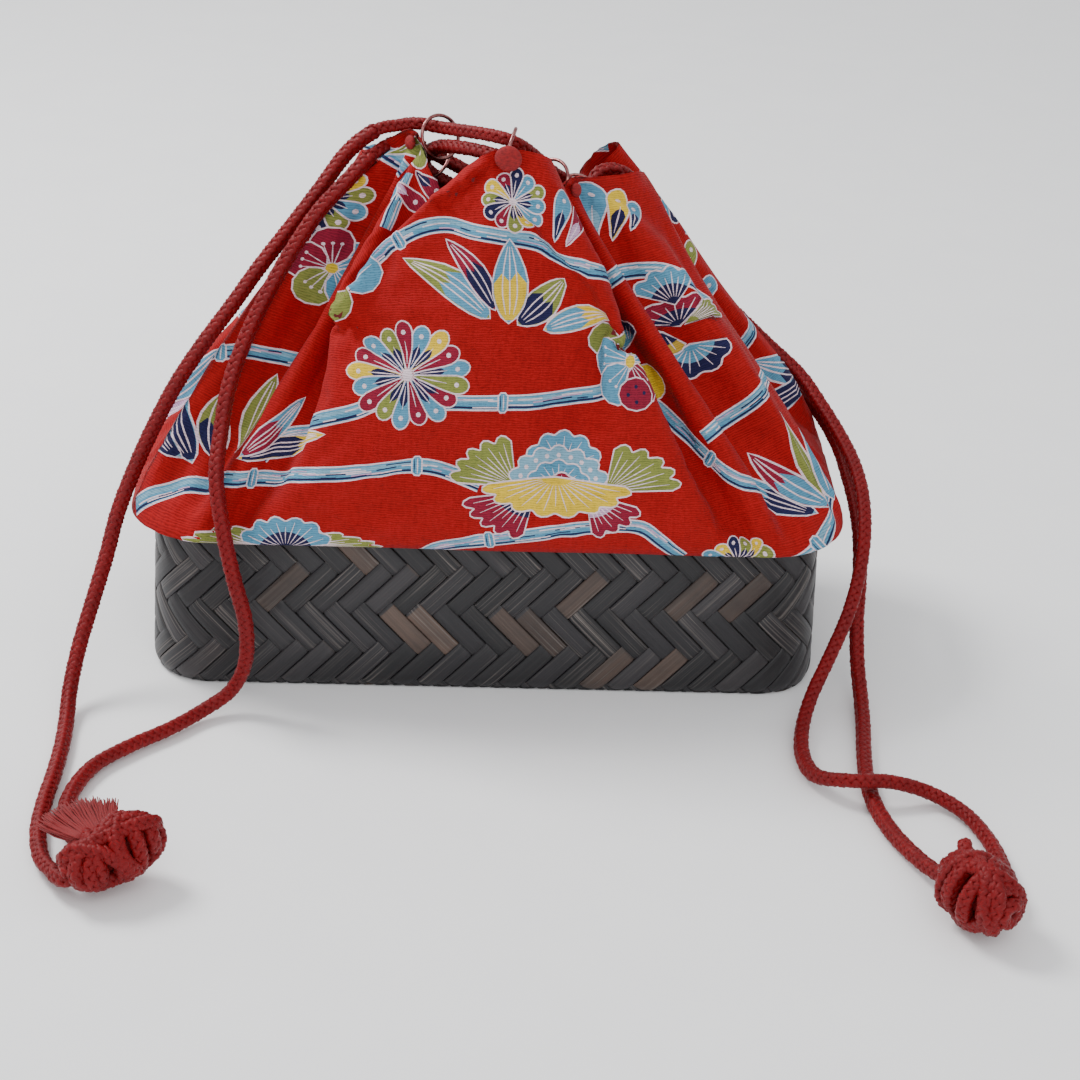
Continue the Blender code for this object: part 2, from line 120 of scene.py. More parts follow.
def rrect(s, w, d, r):
    """Point and outward normal on a rounded rectangle; s=0 is the front middle."""
    a, b, q = w - 2 * r, d - 2 * r, math.pi * r / 2
    t = (s % 1.0) * (2 * a + 2 * b + 4 * q)
    for key, length in (("f", a / 2), ("c0", q), ("r", b), ("c1", q), ("b", a), ("c2", q), ("l", b), ("c3", q), ("e", a)):
        if t <= length:
            break
        t -= length
    if key == "f":
        return (t, -d / 2), (0.0, -1.0)
    if key == "r":
        return (w / 2, -d / 2 + r + t), (1.0, 0.0)
    if key == "b":
        return (w / 2 - r - t, d / 2), (0.0, 1.0)
    if key == "l":
        return (-w / 2, d / 2 - r - t), (-1.0, 0.0)
    if key == "e":
        return (-a / 2 + t, -d / 2), (0.0, -1.0)
    k = int(key[1])
    th = -math.pi / 2 + k * math.pi / 2 + t / r
    cx, cy = (w / 2 - r) * (1, 1, -1, -1)[k], (d / 2 - r) * (-1, 1, 1, -1)[k]
    return (cx + r * math.cos(th), cy + r * math.sin(th)), (math.cos(th), math.sin(th))


def catmull(points, per=12):
    p = [Vector(q) for q in points]
    n = len(p)
    out = []
    for i in range(n - 1):
        a = p[i - 1] if i > 0 else p[0] * 2 - p[1]
        b, c = p[i], p[i + 1]
        d = p[i + 2] if i + 2 < n else p[-1] * 2 - p[-2]
        for k in range(per):
            t = k / per
            out.append(0.5 * ((2 * b) + (c - a) * t + (2 * a - 5 * b + 4 * c - d) * t * t
                              + (3 * b - 3 * c + d - a) * t ** 3))
    out.append(p[-1].copy())
    return out


def line_length(pts):
    return sum((b - a).length for a, b in zip(pts[:-1], pts[1:]))


def resample(points, step):
    seg = [0.0]
    for a, b in zip(points[:-1], points[1:]):
        seg.append(seg[-1] + (b - a).length)
    n = max(2, int(round(seg[-1] / step)))
    out, j = [], 0
    for k in range(n + 1):
        t = seg[-1] * k / n
        while j < len(seg) - 2 and seg[j + 1] < t:
            j += 1
        u = (t - seg[j]) / max(seg[j + 1] - seg[j], 1e-9)
        out.append(points[j].lerp(points[j + 1], min(max(u, 0.0), 1.0)))
    return out


def frames(pts):
    """Tangent and two normals along a line, carried without twist."""
    P = np.array([p[:] for p in pts])
    T = np.gradient(P, axis=0)
    T /= np.linalg.norm(T, axis=1)[:, None]
    a = np.array([0.0, 0.0, 1.0]) if abs(T[0][2]) < 0.8 else np.array([1.0, 0.0, 0.0])
    n = a - T[0] * (a @ T[0])
    n /= np.linalg.norm(n)
    N = [n]
    for t in T[1:]:
        n = n - t * (n @ t)
        n /= np.linalg.norm(n)
        N.append(n)
    N = np.array(N)
    return P, T, N, np.cross(T, N)


def mesh_object(name, verts, faces, smooth=True, uv=None, mats=(), face_mat=None, uv_name="fibre"):
    """A mesh from arrays; uv is one pair for each corner."""
    me = bpy.data.meshes.new(name)
    V = np.asarray(verts, dtype=np.float32)
    me.vertices.add(len(V))
    me.vertices.foreach_set("co", V.ravel())
    lens = np.array([len(f) for f in faces], dtype=np.int32)
    flat = np.fromiter((i for f in faces for i in f), dtype=np.int32)
    me.loops.add(len(flat))
    me.loops.foreach_set("vertex_index", flat)
    me.polygons.add(len(faces))
    start = np.zeros(len(faces), dtype=np.int32)
    start[1:] = np.cumsum(lens)[:-1]
    me.polygons.foreach_set("loop_start", start)
    me.polygons.foreach_set("loop_total", lens)
    if smooth:
        me.polygons.foreach_set("use_smooth", np.ones(len(faces), dtype=bool))
    for m in mats:
        me.materials.append(m)
    if face_mat is not None:
        me.polygons.foreach_set("material_index", np.asarray(face_mat, dtype=np.int32))
    if uv is not None:
        lay = me.uv_layers.new(name=uv_name)
        lay.data.foreach_set("uv", np.asarray(uv, dtype=np.float32).ravel())
    me.update(calc_edges=True)
    me.validate()
    ob = bpy.data.objects.new(name, me)
    SC.collection.objects.link(ob)
    return ob


# ---------------------------------------------------------------- materials
class Tree:
    """Short hand for building node materials."""

    def __init__(self, name):
        self.mat = bpy.data.materials.new(name)
        self.mat.use_nodes = True
        self.t = self.mat.node_tree
        self.b = self.t.nodes["Principled BSDF"]

    def node(self, kind, **kw):
        n = self.t.nodes.new(kind)
        for k, v in kw.items():
            setattr(n, k, v)
        return n

    def link(self, a, b):
        self.t.links.new(a, b)

    def put(self, n, **kw):
        for k, v in kw.items():
            n.inputs[k.replace("_", " ")].default_value = v
        return n

    def coords(self, uv=None, scale=(1, 1, 1), rot=(0, 0, 0)):
        m = self.node("ShaderNodeMapping")
        m.inputs["Scale"].default_value = scale
        m.inputs["Rotation"].default_value = rot
        if uv:
            u = self.node("ShaderNodeUVMap", uv_map=uv)
            self.link(u.outputs[0], m.inputs[0])
        else:
            c = self.node("ShaderNodeTexCoord")
            self.link(c.outputs["Object"], m.inputs[0])
        return m.outputs[0]

    def noise(self, vec, scale, detail=3.0, rough=0.55, dist=0.0):
        n = self.node("ShaderNodeTexNoise")
        n.inputs["Scale"].default_value = scale
        n.inputs["Detail"].default_value = detail
        n.inputs["Roughness"].default_value = rough
        n.inputs["Distortion"].default_value = dist
        self.link(vec, n.inputs["Vector"])
        return n.outputs["Fac"]

    def ramp(self, fac, stops):
        r = self.node("ShaderNodeValToRGB")
        el = r.color_ramp.elements
        while len(el) < len(stops):
            el.new(0.5)
        for e, (p, c) in zip(el, stops):
            e.position = p
            e.color = c if len(c) == 4 else (*c, 1.0)
        self.link(fac, r.inputs[0])
        return r.outputs[0]

    def spread(self, fac, lo, hi, a=0.0, b=1.0):
        r = self.node("ShaderNodeMapRange")
        r.inputs["From Min"].default_value = a
        r.inputs["From Max"].default_value = b
        r.inputs["To Min"].default_value = lo
        r.inputs["To Max"].default_value = hi
        self.link(fac, r.inputs["Value"])
        return r.outputs[0]

    def math(self, op, a, b=None):
        m = self.node("ShaderNodeMath", operation=op)
        for i, v in enumerate((a, b)):
            if v is None:
                continue
            if isinstance(v, (int, float)):
                m.inputs[i].default_value = v
            else:
                self.link(v, m.inputs[i])
        return m.outputs[0]

    def mix(self, fac, a, b, blend="MIX"):
        m = self.node("ShaderNodeMix", data_type="RGBA", blend_type=blend)
        for i, v in ((0, fac), (6, a), (7, b)):
            if isinstance(v, (int, float, tuple)):
                m.inputs[i].default_value = v
            else:
                self.link(v, m.inputs[i])
        return m.outputs[2]

    def bump(self, height, strength, distance):
        b = self.node("ShaderNodeBump")
        b.inputs["Strength"].default_value = strength
        b.inputs["Distance"].default_value = distance
        self.link(height, b.inputs["Height"])
        self.link(b.outputs[0], self.b.inputs["Normal"])
        return b


def cord_material():
    t = Tree("braided_cord")
    uv = t.coords("fibre", (1, 1, 1))
    long = t.coords("fibre", (260, 9000, 1))
    fib = t.noise(long, 1.0, 2.0, 0.6)
    big = t.noise(t.coords(), 90.0, 2.0)
    base = t.ramp(fib, [(0.25, lin(70, 2, 6)), (0.55, lin(124, 4, 9)), (0.8, lin(156, 12, 17))])
    col = t.mix(t.spread(big, 0.0, 0.35, 0.35, 0.7), base, lin(84, 3, 8))
    t.link(col, t.b.inputs["Base Color"])
    t.link(t.spread(fib, 0.52, 0.38), t.b.inputs["Roughness"])
    t.b.inputs["Specular IOR Level"].default_value = 0.22
    t.b.inputs["Sheen Weight"].default_value = 0.02
    t.b.inputs["Sheen Roughness"].default_value = 0.4
    t.bump(fib, 0.5, 0.00018)
    return t.mat


def tuft_material():
    t = Tree("cut_tuft")
    fib = t.noise(t.coords("fibre", (180, 5200, 1)), 1.0, 3.0, 0.65)
    col = t.ramp(fib, [(0.25, lin(96, 3, 8)), (0.6, lin(138, 6, 11)), (0.85, lin(160, 14, 18))])
    t.link(col, t.b.inputs["Base Color"])
    t.link(t.spread(fib, 0.75, 0.6), t.b.inputs["Roughness"])
    t.b.inputs["Sheen Weight"].default_value = 0.05
    t.bump(fib, 0.7, 0.0003)
    return t.mat


def ring_material():
    t = Tree("ring_wire")
    n = t.noise(t.coords(), 900.0, 3.0)
    # the red-pink tint of the metal's colour is a painted reflection of the red cloth round the rings
    t.link(t.ramp(n, [(0.3, lin(116, 52, 60)), (0.7, lin(176, 128, 122))]), t.b.inputs["Base Color"])
    t.b.inputs["Metallic"].default_value = 1.0
    t.link(t.spread(n, 0.22, 0.4), t.b.inputs["Roughness"])
    return t.mat


def strip_material():
    """Stained bamboo strips: long pale fibres, each strip its own shade."""
    t = Tree("bamboo_strip")
    shade = t.node("ShaderNodeAttribute", attribute_name="shade")
    fine = t.noise(t.coords("fibre", (9, 1350, 1)), 1.0, 3.0, 0.65)
    some = t.noise(t.coords("fibre", (16, 60, 1)), 1.0, 1.0)
    wide = t.noise(t.coords("fibre", (10, 420, 1)), 1.0, 3.0, 0.6)
    blotch = t.noise(t.coords(), 70.0, 3.0)
    dark = t.ramp(shade.outputs["Fac"], [(0.0, lin(22, 21, 23)), (0.45, lin(36, 34, 37)), (0.72, lin(50, 47, 49)),
                                         (0.8, lin(66, 53, 46)), (1.0, lin(99, 80, 69))])
    streak = t.math("MULTIPLY", t.spread(fine, 0.0, 0.95, 0.52, 0.68), t.spread(some, 0.12, 1.0, 0.45, 0.62))
    lit = t.mix(streak, dark, lin(122, 114, 108))
    lit = t.mix(t.spread(wide, 0.45, 0.0, 0.3, 0.62), lit, lin(18, 18, 21))
    lit = t.mix(t.spread(blotch, 0.3, 0.0, 0.32, 0.55), lit, lin(24, 22, 24))
    t.link(lit, t.b.inputs["Base Color"])
    t.link(t.spread(fine, 0.36, 0.58, 0.3, 0.8), t.b.inputs["Roughness"])
    t.b.inputs["Specular IOR Level"].default_value = 0.42
    t.bump(t.math("ADD", fine, t.math("MULTIPLY", wide, 1.5)), 0.55, 0.00022)
    return t.mat


def hoop_material():
    t = Tree("split_bamboo")
    g = t.noise(t.coords(None, (12, 12, 900)), 1.0, 4.0, 0.6)
    t.link(t.ramp(g, [(0.3, lin(52, 34, 22)), (0.7, lin(108, 78, 52))]), t.b.inputs["Base Color"])
    t.link(t.spread(g, 0.4, 0.6), t.b.inputs["Roughness"])
    t.bump(g, 0.4, 0.0002)
    return t.mat


def crepe_height(t, uv="cut"):
    """Fine wavy cross ribs of chirimen crepe, from flat cloth coordinates in metres."""
    wob = t.noise(t.coords(uv, (900, 260, 1)), 1.0, 2.0, 0.5)
    w = t.node("ShaderNodeTexWave", wave_type="BANDS", bands_direction="Y")
    w.inputs["Scale"].default_value = 1.0
    w.inputs["Distortion"].default_value = 5.5
    w.inputs["Detail"].default_value = 2.0
    w.inputs["Detail Scale"].default_value = 1.6
    w.inputs["Detail Roughness"].default_value = 0.6
    t.link(t.coords(uv, (170, 400, 1)), w.inputs["Vector"])
    grain = t.noise(t.coords(uv, (2600, 2600, 1)), 1.0, 2.0, 0.6)
    return t.math("ADD", t.math("MULTIPLY", w.outputs["Fac"], 0.5),
                  t.math("ADD", t.math("MULTIPLY", wob, 0.7), t.math("MULTIPLY", grain, 0.6)))


def print_material():
    """Dyed crepe: the dye colour comes from the cut cloth's dyed faces; over it the crepe ribs get a painted highlight
    on their crests and a painted shade in their hollows.
    """
    t = Tree("printed_crepe")
    a = t.node("ShaderNodeAttribute", attribute_name="dye")
    h = crepe_height(t)
    blot = t.noise(t.coords("cut", (70, 70, 1)), 1.0, 3.0)
    # painted highlight: the crepe ribs' crests are lightened from the crepe height
    crest_painted_highlight = t.mix(t.spread(h, 0.0, 0.34, 0.55, 1.25), a.outputs["Color"], (0.8, 0.5, 0.5, 1.0), "SOFT_LIGHT")
    # painted shade: the crepe ribs' hollows are darkened towards near black from the crepe height
    hollow_painted_shade = t.mix(t.spread(h, 0.55, 0.0, 0.35, 0.95), crest_painted_highlight, (0.05, 0.0, 0.004, 1.0), "MULTIPLY")
    col = t.mix(t.spread(blot, 0.0, 0.16, 0.4, 0.7), hollow_painted_shade, (0.3, 0.2, 0.2, 1.0), "MULTIPLY")
    t.link(col, t.b.inputs["Base Color"])
    t.link(t.spread(h, 0.92, 0.74, 0.4, 1.3), t.b.inputs["Roughness"])
    t.b.inputs["Specular IOR Level"].default_value = 0.2
    t.b.inputs["Sheen Weight"].default_value = 0.02
    t.b.inputs["Sheen Roughness"].default_value = 0.5
    t.bump(h, 0.6, 0.0003)
    return t.mat


def lining_material():
    t = Tree("lining_cloth")
    w = t.noise(t.coords(None, (1500, 1500, 1500)), 1.0, 2.0)
    big = t.noise(t.coords(), 60.0, 2.0)
    col = t.mix(t.spread(w, 0.0, 0.5, 0.3, 0.7), lin(112, 12, 20), lin(86, 8, 16))
    t.link(t.mix(t.spread(big, 0.0, 0.4, 0.35, 0.7), col, lin(60, 6, 12)), t.b.inputs["Base Color"])
    t.link(t.spread(w, 0.8, 0.95), t.b.inputs["Roughness"])
    t.bump(w, 0.3, 0.0001)
    return t.mat


M_CORD, M_TUFT, M_RING = cord_material(), tuft_material(), ring_material()
M_STRIP, M_HOOP, M_PRINT, M_LINING = strip_material(), hoop_material(), print_material(), lining_material()

# ------------------------------------------------------------------- camera
AZ, EL, ROLL = (math.radians(v) for v in (-2.80, 28.0, 2.78))
back = Vector((math.sin(AZ) * math.cos(EL), -math.cos(AZ) * math.cos(EL), math.sin(EL)))
right = Vector((math.cos(AZ), math.sin(AZ), 0))
up = back.cross(right)
rx, ux = right * math.cos(ROLL) + up * math.sin(ROLL), -right * math.sin(ROLL) + up * math.cos(ROLL)
cd = bpy.data.cameras.new("camera")
cam = bpy.data.objects.new("camera", cd)
SC.collection.objects.link(cam)
cam.matrix_world = Matrix.Translation(Vector((0.0189, 0, 0.0332)) + back * 0.85) @ Matrix(
    ((rx.x, ux.x, back.x, 0), (rx.y, ux.y, back.y, 0), (rx.z, ux.z, back.z, 0), (0, 0, 0, 1)))
cd.lens = 36 * 2407 / 1080
cd.clip_start, cd.clip_end = 0.02, 20.0
SC.camera = cam


# -------------------------------------------------------------- braided cord
def braid(pts, dia, name=None, pitch=0.0109, step=0.00075, taper=None, seed=0):
    """Arrays of an eight-strand round braid along a line: verts, faces, corner uv."""
    line = resample(pts, step)
    P, T, N, B = frames(line)
    s = np.concatenate([[0], np.cumsum(np.linalg.norm(np.diff(P, axis=0), axis=1))])
    R = dia / 2
    half_w, half_t = 0.194 * dia, 0.130 * dia
    r0, amp = R - half_t - 0.070 * dia, 0.070 * dia
    M = 8
    sec = [(math.cos(2 * math.pi * k / M), math.sin(2 * math.pi * k / M)) for k in range(M)]
    verts, faces, uvs = [], [], []
    n = len(P)
    k = np.ones(n) if taper is None else np.array([taper(x / s[-1]) for x in s])
    for c in range(8):
        sign = 1 if c % 2 == 0 else -1
        th = sign * 2 * math.pi * s / pitch + (c // 2) * math.pi / 2 + (0 if sign > 0 else 0.12)
        rad = (r0 + sign * amp * np.sin(8 * math.pi * s / pitch + seed)) * k
        D = N * np.cos(th)[:, None] + B * np.sin(th)[:, None]
        C = P + D * rad[:, None]
        t = np.gradient(C, axis=0)
        t /= np.linalg.norm(t, axis=1)[:, None]
        W = np.cross(t, D)
        W /= np.linalg.norm(W, axis=1)[:, None]
        E = np.cross(W, t)
        base = len(verts) and sum(len(v) for v in verts)
        ring = []
        for (cw, sw) in sec:
            ring.append(C + W * (cw * half_w) * k[:, None] + E * (sw * half_t) * k[:, None])
        ring = np.stack(ring, axis=1).reshape(-1, 3)
        verts.append(ring)
        for i in range(n - 1):
            for m in range(M):
                a, b = base + i * M + m, base + i * M + (m + 1) % M
                faces.append((a, b, b + M, a + M))
                u0, u1 = s[i], s[i + 1]
                v0, v1 = c * 0.02 + m * 0.0006, c * 0.02 + (m + 1) * 0.0006
                uvs += [(u0, v0), (u0, v1), (u1, v1), (u1, v0)]
        faces.append(tuple(base + m for m in range(M))[::-1])
        uvs += [(0, 0)] * M
        faces.append(tuple(base + (n - 1) * M + m for m in range(M)))
        uvs += [(0, 0)] * M
    # dark core, so that nothing shows through between strands
    base = sum(len(v) for v in verts)
    m = 10
    ii = list(range(0, n, 4)) + ([n - 1] if (n - 1) % 4 else [])
    core = []
    for i in ii:
        for q in range(m):
            a = 2 * math.pi * q / m
            core.append(P[i] + (N[i] * math.cos(a) + B[i] * math.sin(a)) * (r0 * 0.97 * k[i]))
    verts.append(np.array(core))
    for i in range(len(ii) - 1):
        for q in range(m):
            a, b = base + i * m + q, base + i * m + (q + 1) % m
            faces.append((a, b, b + m, a + m))
            uvs += [(0.0, 0.2)] * 4
    for e in (0, len(ii) - 1):
        f = tuple(base + e * m + q for q in range(m))
        faces.append(f[::-1] if e == 0 else f)
        uvs += [(0.0, 0.2)] * m
    return np.concatenate(verts), faces, uvs


def braid_object(name, parts):
    """One object from several braid arrays."""
    V, F, U, off = [], [], [], 0
    for v, f, u in parts:
        V.append(v)
        F += [tuple(i + off for i in q) for q in f]
        U += u
        off += len(v)
    return mesh_object(name, np.concatenate(V), F, uv=U, mats=[M_CORD])


PEAK_CURVE = [Vector(p) for _s, p in PEAKS]


def ring_centre(k):
    p = PEAK_CURVE[k % len(PEAKS)]
    r = (Vector((p.x, p.y, 0)) - MOUTH_C).normalized()
    c = p - r * (RING_IN_R + RING_WIRE_R + CLOTH_T + LINING_T + 3 * GAP - 0.0010)
    c.z = p.z + 0.0012
    return c, r


def ring_frame(k):
    c, r = ring_centre(k)
    t = (ring_centre(k + 1)[0] - ring_centre(k - 1)[0]).normalized()
    r = (r - t * r.dot(t)).normalized()
    u = r.cross(t)
    if u.z < 0:
        u.negate()
    return c, r, u


def whole_cord(strand_a, enter, order, lift, leave, strand_b, per=12):
    pts = [Vector(p) for p in reversed(strand_a)] + [Vector(p) for p in enter]
    for k in order:
        c, _r, u = ring_frame(k)
        pts.append(c + u * lift)
    pts += [Vector(p) for p in leave]
    i0, i1 = len(strand_a) - 1, len(pts)
    pts += [Vector(p) for p in strand_b]
    line = catmull(pts, per=per)
    return line[:i0 * per + 1][::-1], line[i0 * per:i1 * per + 1], line[i1 * per:]


def knot_axes(k):
    ax = Vector(k["axis"]).normalized()
    side = ax.cross(Vector((0, 0, 1))).normalized()
    return Vector(k["c"]), ax, side, side.cross(ax)


LA, LRUN, LB = whole_cord(STRAND_LEFT_A, LEFT_IN, (7, 0, 1, 2, 3, 4, 5, 6), 0.0031, LEFT_OUT, STRAND_LEFT_B)
RA, RRUN, RB = whole_cord(STRAND_RIGHT_A, RIGHT_IN, (2, 1, 0, 7, 6, 5, 4, 3), -0.0031, RIGHT_OUT, STRAND_RIGHT_B)
LINES = {"left_a": LA, "left_b": LB, "right_a": RA, "right_b": RB}
CORDS, KNOTS = {}, {}


def build_cords():
    spec = {
        "left_a": ("cord_left_a", "knot_left"), "left_b": ("cord_left_b", "knot_left"),
        "right_a": ("cord_right_a", "knot_right"), "right_b": ("cord_right_b", "knot_right"),
    }
    for key, (node, knot) in spec.items():
        line = list(LINES[key])
        ob = braid_object("drawstring_" + key, [braid(line, CORD_D)])
        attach(ob, "root")
        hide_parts(node)
        CORDS[key] = (ob, line, knot)
    for name, line, node in (("left", LRUN, "drawstring_left_run"), ("right", RRUN, "drawstring_right_run")):
        ob = braid_object("drawstring_%s_mouth" % name, [braid(line, RUN_D)])
        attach(ob, "root")
        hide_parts(node)


def knot_piece(name, k, node, wraps, extra):
    parts = [braid(w[0], w[1], pitch=w[2], taper=w[3] if len(w) > 3 else None) for w in wraps]
    V, F, U, off = [], [], [], 0
    for v, f, u in parts:
        V.append(v)
        F += [tuple(i + off for i in q) for q in f]
        U += u
        off += len(v)
    # filled heart of the knot
    c, ax, side, upv = knot_axes(k)
    n, m = 26, 16
    heart, hl, hr = [], k["half_len"] * 0.60, k["r"] * 0.50
    for j in range(1, m):
        f = -1 + 2 * j / m
        e = math.sqrt(max(0.0, 1 - f * f)) ** 0.8
        for i in range(n):
            a = 2 * math.pi * i / n
            heart.append(c + ax * (hl * f) + (side * math.cos(a) + upv * math.sin(a)) * (hr * e))
    heart = [h[:] for h in heart]
    V.append(np.array(heart))
    for j in range(m - 2):
        for i in range(n):
            a, b = off + j * n + i, off + j * n + (i + 1) % n
            F.append((a, b, b + n, a + n))
            U += [(0.01 * j, 0.004 * i), (0.01 * j, 0.004 * i + 0.004), (0.01 * j + 0.01, 0.004 * i + 0.004), (0.01 * j + 0.01, 0.004 * i)]
    F.append(tuple(off + i for i in range(n))[::-1])
    F.append(tuple(off + (m - 2) * n + i for i in range(n)))
    U += [(0, 0)] * (2 * n)
    V = np.concatenate(V)
    ob = mesh_object(name, V, F, uv=U, mats=[M_CORD])
    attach(ob, "root")
    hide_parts(node)
    return ob


def tuft(name, root, tip_dir, side_dir, length, width, n=90, seed=3):
    """Fan of cut cord fibres, flat, spreading from the knot."""
    rng = np.random.default_rng(seed)
    root, d, w = Vector(root), Vector(tip_dir).normalized(), Vector(side_dir).normalized()
    nrm = d.cross(w).normalized()
    V, F, U = [], [], []
    for i in range(n):
        f = (i + 0.5) / n * 2 - 1
        lay = (i * 7 % 5 - 2) / 2.0
        ang = f * 0.50 + rng.normal(0, 0.05)
        L = length * (1.0 - 0.16 * f * f) * (0.86 + 0.14 * rng.random())
        base = root + w * (f * width * 0.36) + nrm * (lay * 0.0009)
        r = 0.00034
        pts = []
        for q in range(6):
            t = q / 5
            p = base + (d * math.cos(ang) + w * math.sin(ang)) * (L * t) + nrm * (lay * 0.0006 * t + 0.0012 * math.sin(t * 2.2))
            p += w * (rng.normal(0, 0.00012) * t) + nrm * (rng.normal(0, 0.00018) * t)
            pts.append(p)
        P, T, N, B = frames(pts)
        off = len(V)
        for q in range(6):
            rr = r * (1.0, 1.05, 1.0, 0.95, 0.85, 0.45)[q]
            for m in range(5):
                a = 2 * math.pi * m / 5
                V.append(P[q] + (N[q] * math.cos(a) + B[q] * math.sin(a)) * rr)
        for q in range(5):
            for m in range(5):
                a, b = off + q * 5 + m, off + q * 5 + (m + 1) % 5
                F.append((a, b, b + 5, a + 5))
                u0, u1, v0 = q * 0.002, q * 0.002 + 0.002, i * 0.003 + m * 0.0005
                U += [(u0, v0), (u0, v0 + 0.0005), (u1, v0 + 0.0005), (u1, v0)]
        F.append(tuple(off + m for m in range(5))[::-1])
        F.append(tuple(off + 25 + m for m in range(5)))
        U += [(0, 0)] * 10
    ob = mesh_object(name, np.array([v[:] for v in V]), F, uv=U, mats=[M_TUFT])
    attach(ob, "root")
    return ob


def knot_loop(k, dia, axis, off, phase=0.0, ripple=0.05):
    """One closed turn of cord drawn tight over the knot; axis is along, side and up shares."""
    c, ax, side, upv = knot_axes(k)
    hl, r = k["half_len"] - dia * .5, k["r"] - dia * .5
    e3 = Vector(axis).normalized()
    e1 = e3.cross(Vector((0.31, 0.22, 1.0))).normalized()
    e2 = e3.cross(e1)
    pts = []
    for q in np.linspace(0.0, 2 * math.pi, 97):
        w = math.sqrt(1 - off * off)
        n = e3 * off + (e1 * math.cos(q + phase) + e2 * math.sin(q + phase)) * w
        g = 1.0 - ripple + ripple * math.sin(3 * q + phase * 2)
        pts.append(c + (ax * (n.x * hl) + side * (n.y * r) + upv * (n.z * r)) * g)
    return pts


def knot_ball(k, dia, share=0.90, start=0.0):
    """Close turns of cord under the drawn-tight ones, from one end of the knot to the other."""
    c, ax, side, upv = knot_axes(k)
    hl, r = (k["half_len"] - dia * .5) * share, (k["r"] - dia * .5) * share
    turns = 2 * hl / (dia * .86)
    pts = []
    for f in np.linspace(0.0, 1.0, int(turns * 26)):
        th = math.pi * (0.06 + 0.88 * f)
        a = start + 2 * math.pi * turns * f
        pts.append(c + ax * (-hl * math.cos(th)) + (side * math.cos(a) + upv * math.sin(a)) * (r * math.sin(th)))
    return pts


def knot_tail(k, key, depth):
    """A strand's last stretch, from where it meets the knot to where it is lost inside it."""
    c, ax, side, upv = knot_axes(k)
    line = LINES[key]
    end = line[-1]
    d = (line[-1] - line[-4]).normalized()
    goal = c + ax * depth
    gap = (goal - end).length
    return catmull([end - d * .0012, end + d * .0014, end + d * min(.0050, gap * .4) + (goal - end) * .12,
                    end.lerp(goal, .62) + d * .0010, goal], 8)


def build_knots():
    d = CORD_D
    k = KNOT_LEFT
    c, ax, side, upv = knot_axes(k)
    wraps = [(knot_loop(k, d, (1.0, .35, .15), .40, .4), d, .0100), (knot_loop(k, d, (1.0, -.45, .2), -.38, 1.3), d, .0100),
             (knot_loop(k, d, (.30, 1.0, .35), .30, .2), d, .0100), (knot_loop(k, d, (-.25, .9, -.55), -.28, 2.0), d, .0100),
             (knot_loop(k, d, (.9, .8, .1), .05, 1.0, .10), d, .0100), (knot_ball(k, d, .90, .5), d, .0100),
             (knot_tail(k, "left_a", -.0040), d * 1.03, .0109), (knot_tail(k, "left_b", -.0020), d * 1.03, .0109)]
    KNOTS["left"] = knot_piece("end_knot_left", k, "knot_left", wraps, None)
    KNOTS["left_tuft"] = tuft("cut_tuft_left", c + ax * -0.0020 + side * -0.003 + upv * 0.0050,
                              Vector((-0.55, 0.80, 0.16)), Vector((0.85, 0.5, 0.0)), 0.0175, 0.0150, n=300)
    k = KNOT_RIGHT
    c, ax, side, upv = knot_axes(k)
    stub = catmull([c + ax * -0.0060 - side * 0.001 + upv * 0.004, c + ax * -0.0115 - side * 0.0050 + upv * 0.0065,
                    c + ax * -0.0148 - side * 0.0080 + upv * 0.0072], 8)
    wraps = [(knot_loop(k, d, (1.0, -.35, .2), .36, .9), d, .0100), (knot_loop(k, d, (1.0, .5, .1), -.36, .1), d, .0100),
             (knot_loop(k, d, (-.35, 1.0, .3), .30, 1.5), d, .0100), (knot_loop(k, d, (.3, .85, -.5), -.30, .7), d, .0100),
             (knot_loop(k, d, (.8, -.9, .15), .04, .3, .10), d, .0100), (knot_ball(k, d, .90, 1.5), d, .0100),
             (knot_tail(k, "right_a", -.0040), d * 1.03, .0109), (knot_tail(k, "right_b", -.0030), d * 1.03, .0109),
             (stub, d, .0100, lambda f: math.sqrt(max(.02, 1 - max(0.0, (f - .72) / .28) ** 2)))]
    KNOTS["right"] = knot_piece("end_knot_right", k, "knot_right", wraps, None)


build_cords()
build_knots()
for key, (ob, line, knot) in CORDS.items():
    start = line[0]
    step = resample(line, 0.006)
    tuple(start)
    line_length(line)
    [tuple(p) for p in step]


# -------------------------------------------------------------------- rings
def build_rings():
    for k in range(8):
        c, r, u = ring_frame(k)
        t = r.cross(u)
        V, F = [], []
        n, m = 64, 12
        big = RING_IN_R + RING_WIRE_R
        for i in range(n):
            th = 2 * math.pi * i / n
            d = r * math.cos(th) + u * math.sin(th)
            for j in range(m):
                a = 2 * math.pi * j / m
                V.append((c + d * (big + RING_WIRE_R * math.cos(a)) + t * (RING_WIRE_R * math.sin(a)))[:])
        for i in range(n):
            for j in range(m):
                a, b = i * m + j, i * m + (j + 1) % m
                e, f = ((i + 1) % n) * m + j, ((i + 1) % n) * m + (j + 1) % m
                F.append((a, b, f, e))
        ob = mesh_object("sewn_ring_%d" % (k + 1), V, F, mats=[M_RING])
        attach(ob, "root")
        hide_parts("mouth_ring_%d" % (k + 1))


build_rings()

# ---------------------------------------------------------------- basket weave
STRIP_W = 0.0070
PITCH = STRIP_W


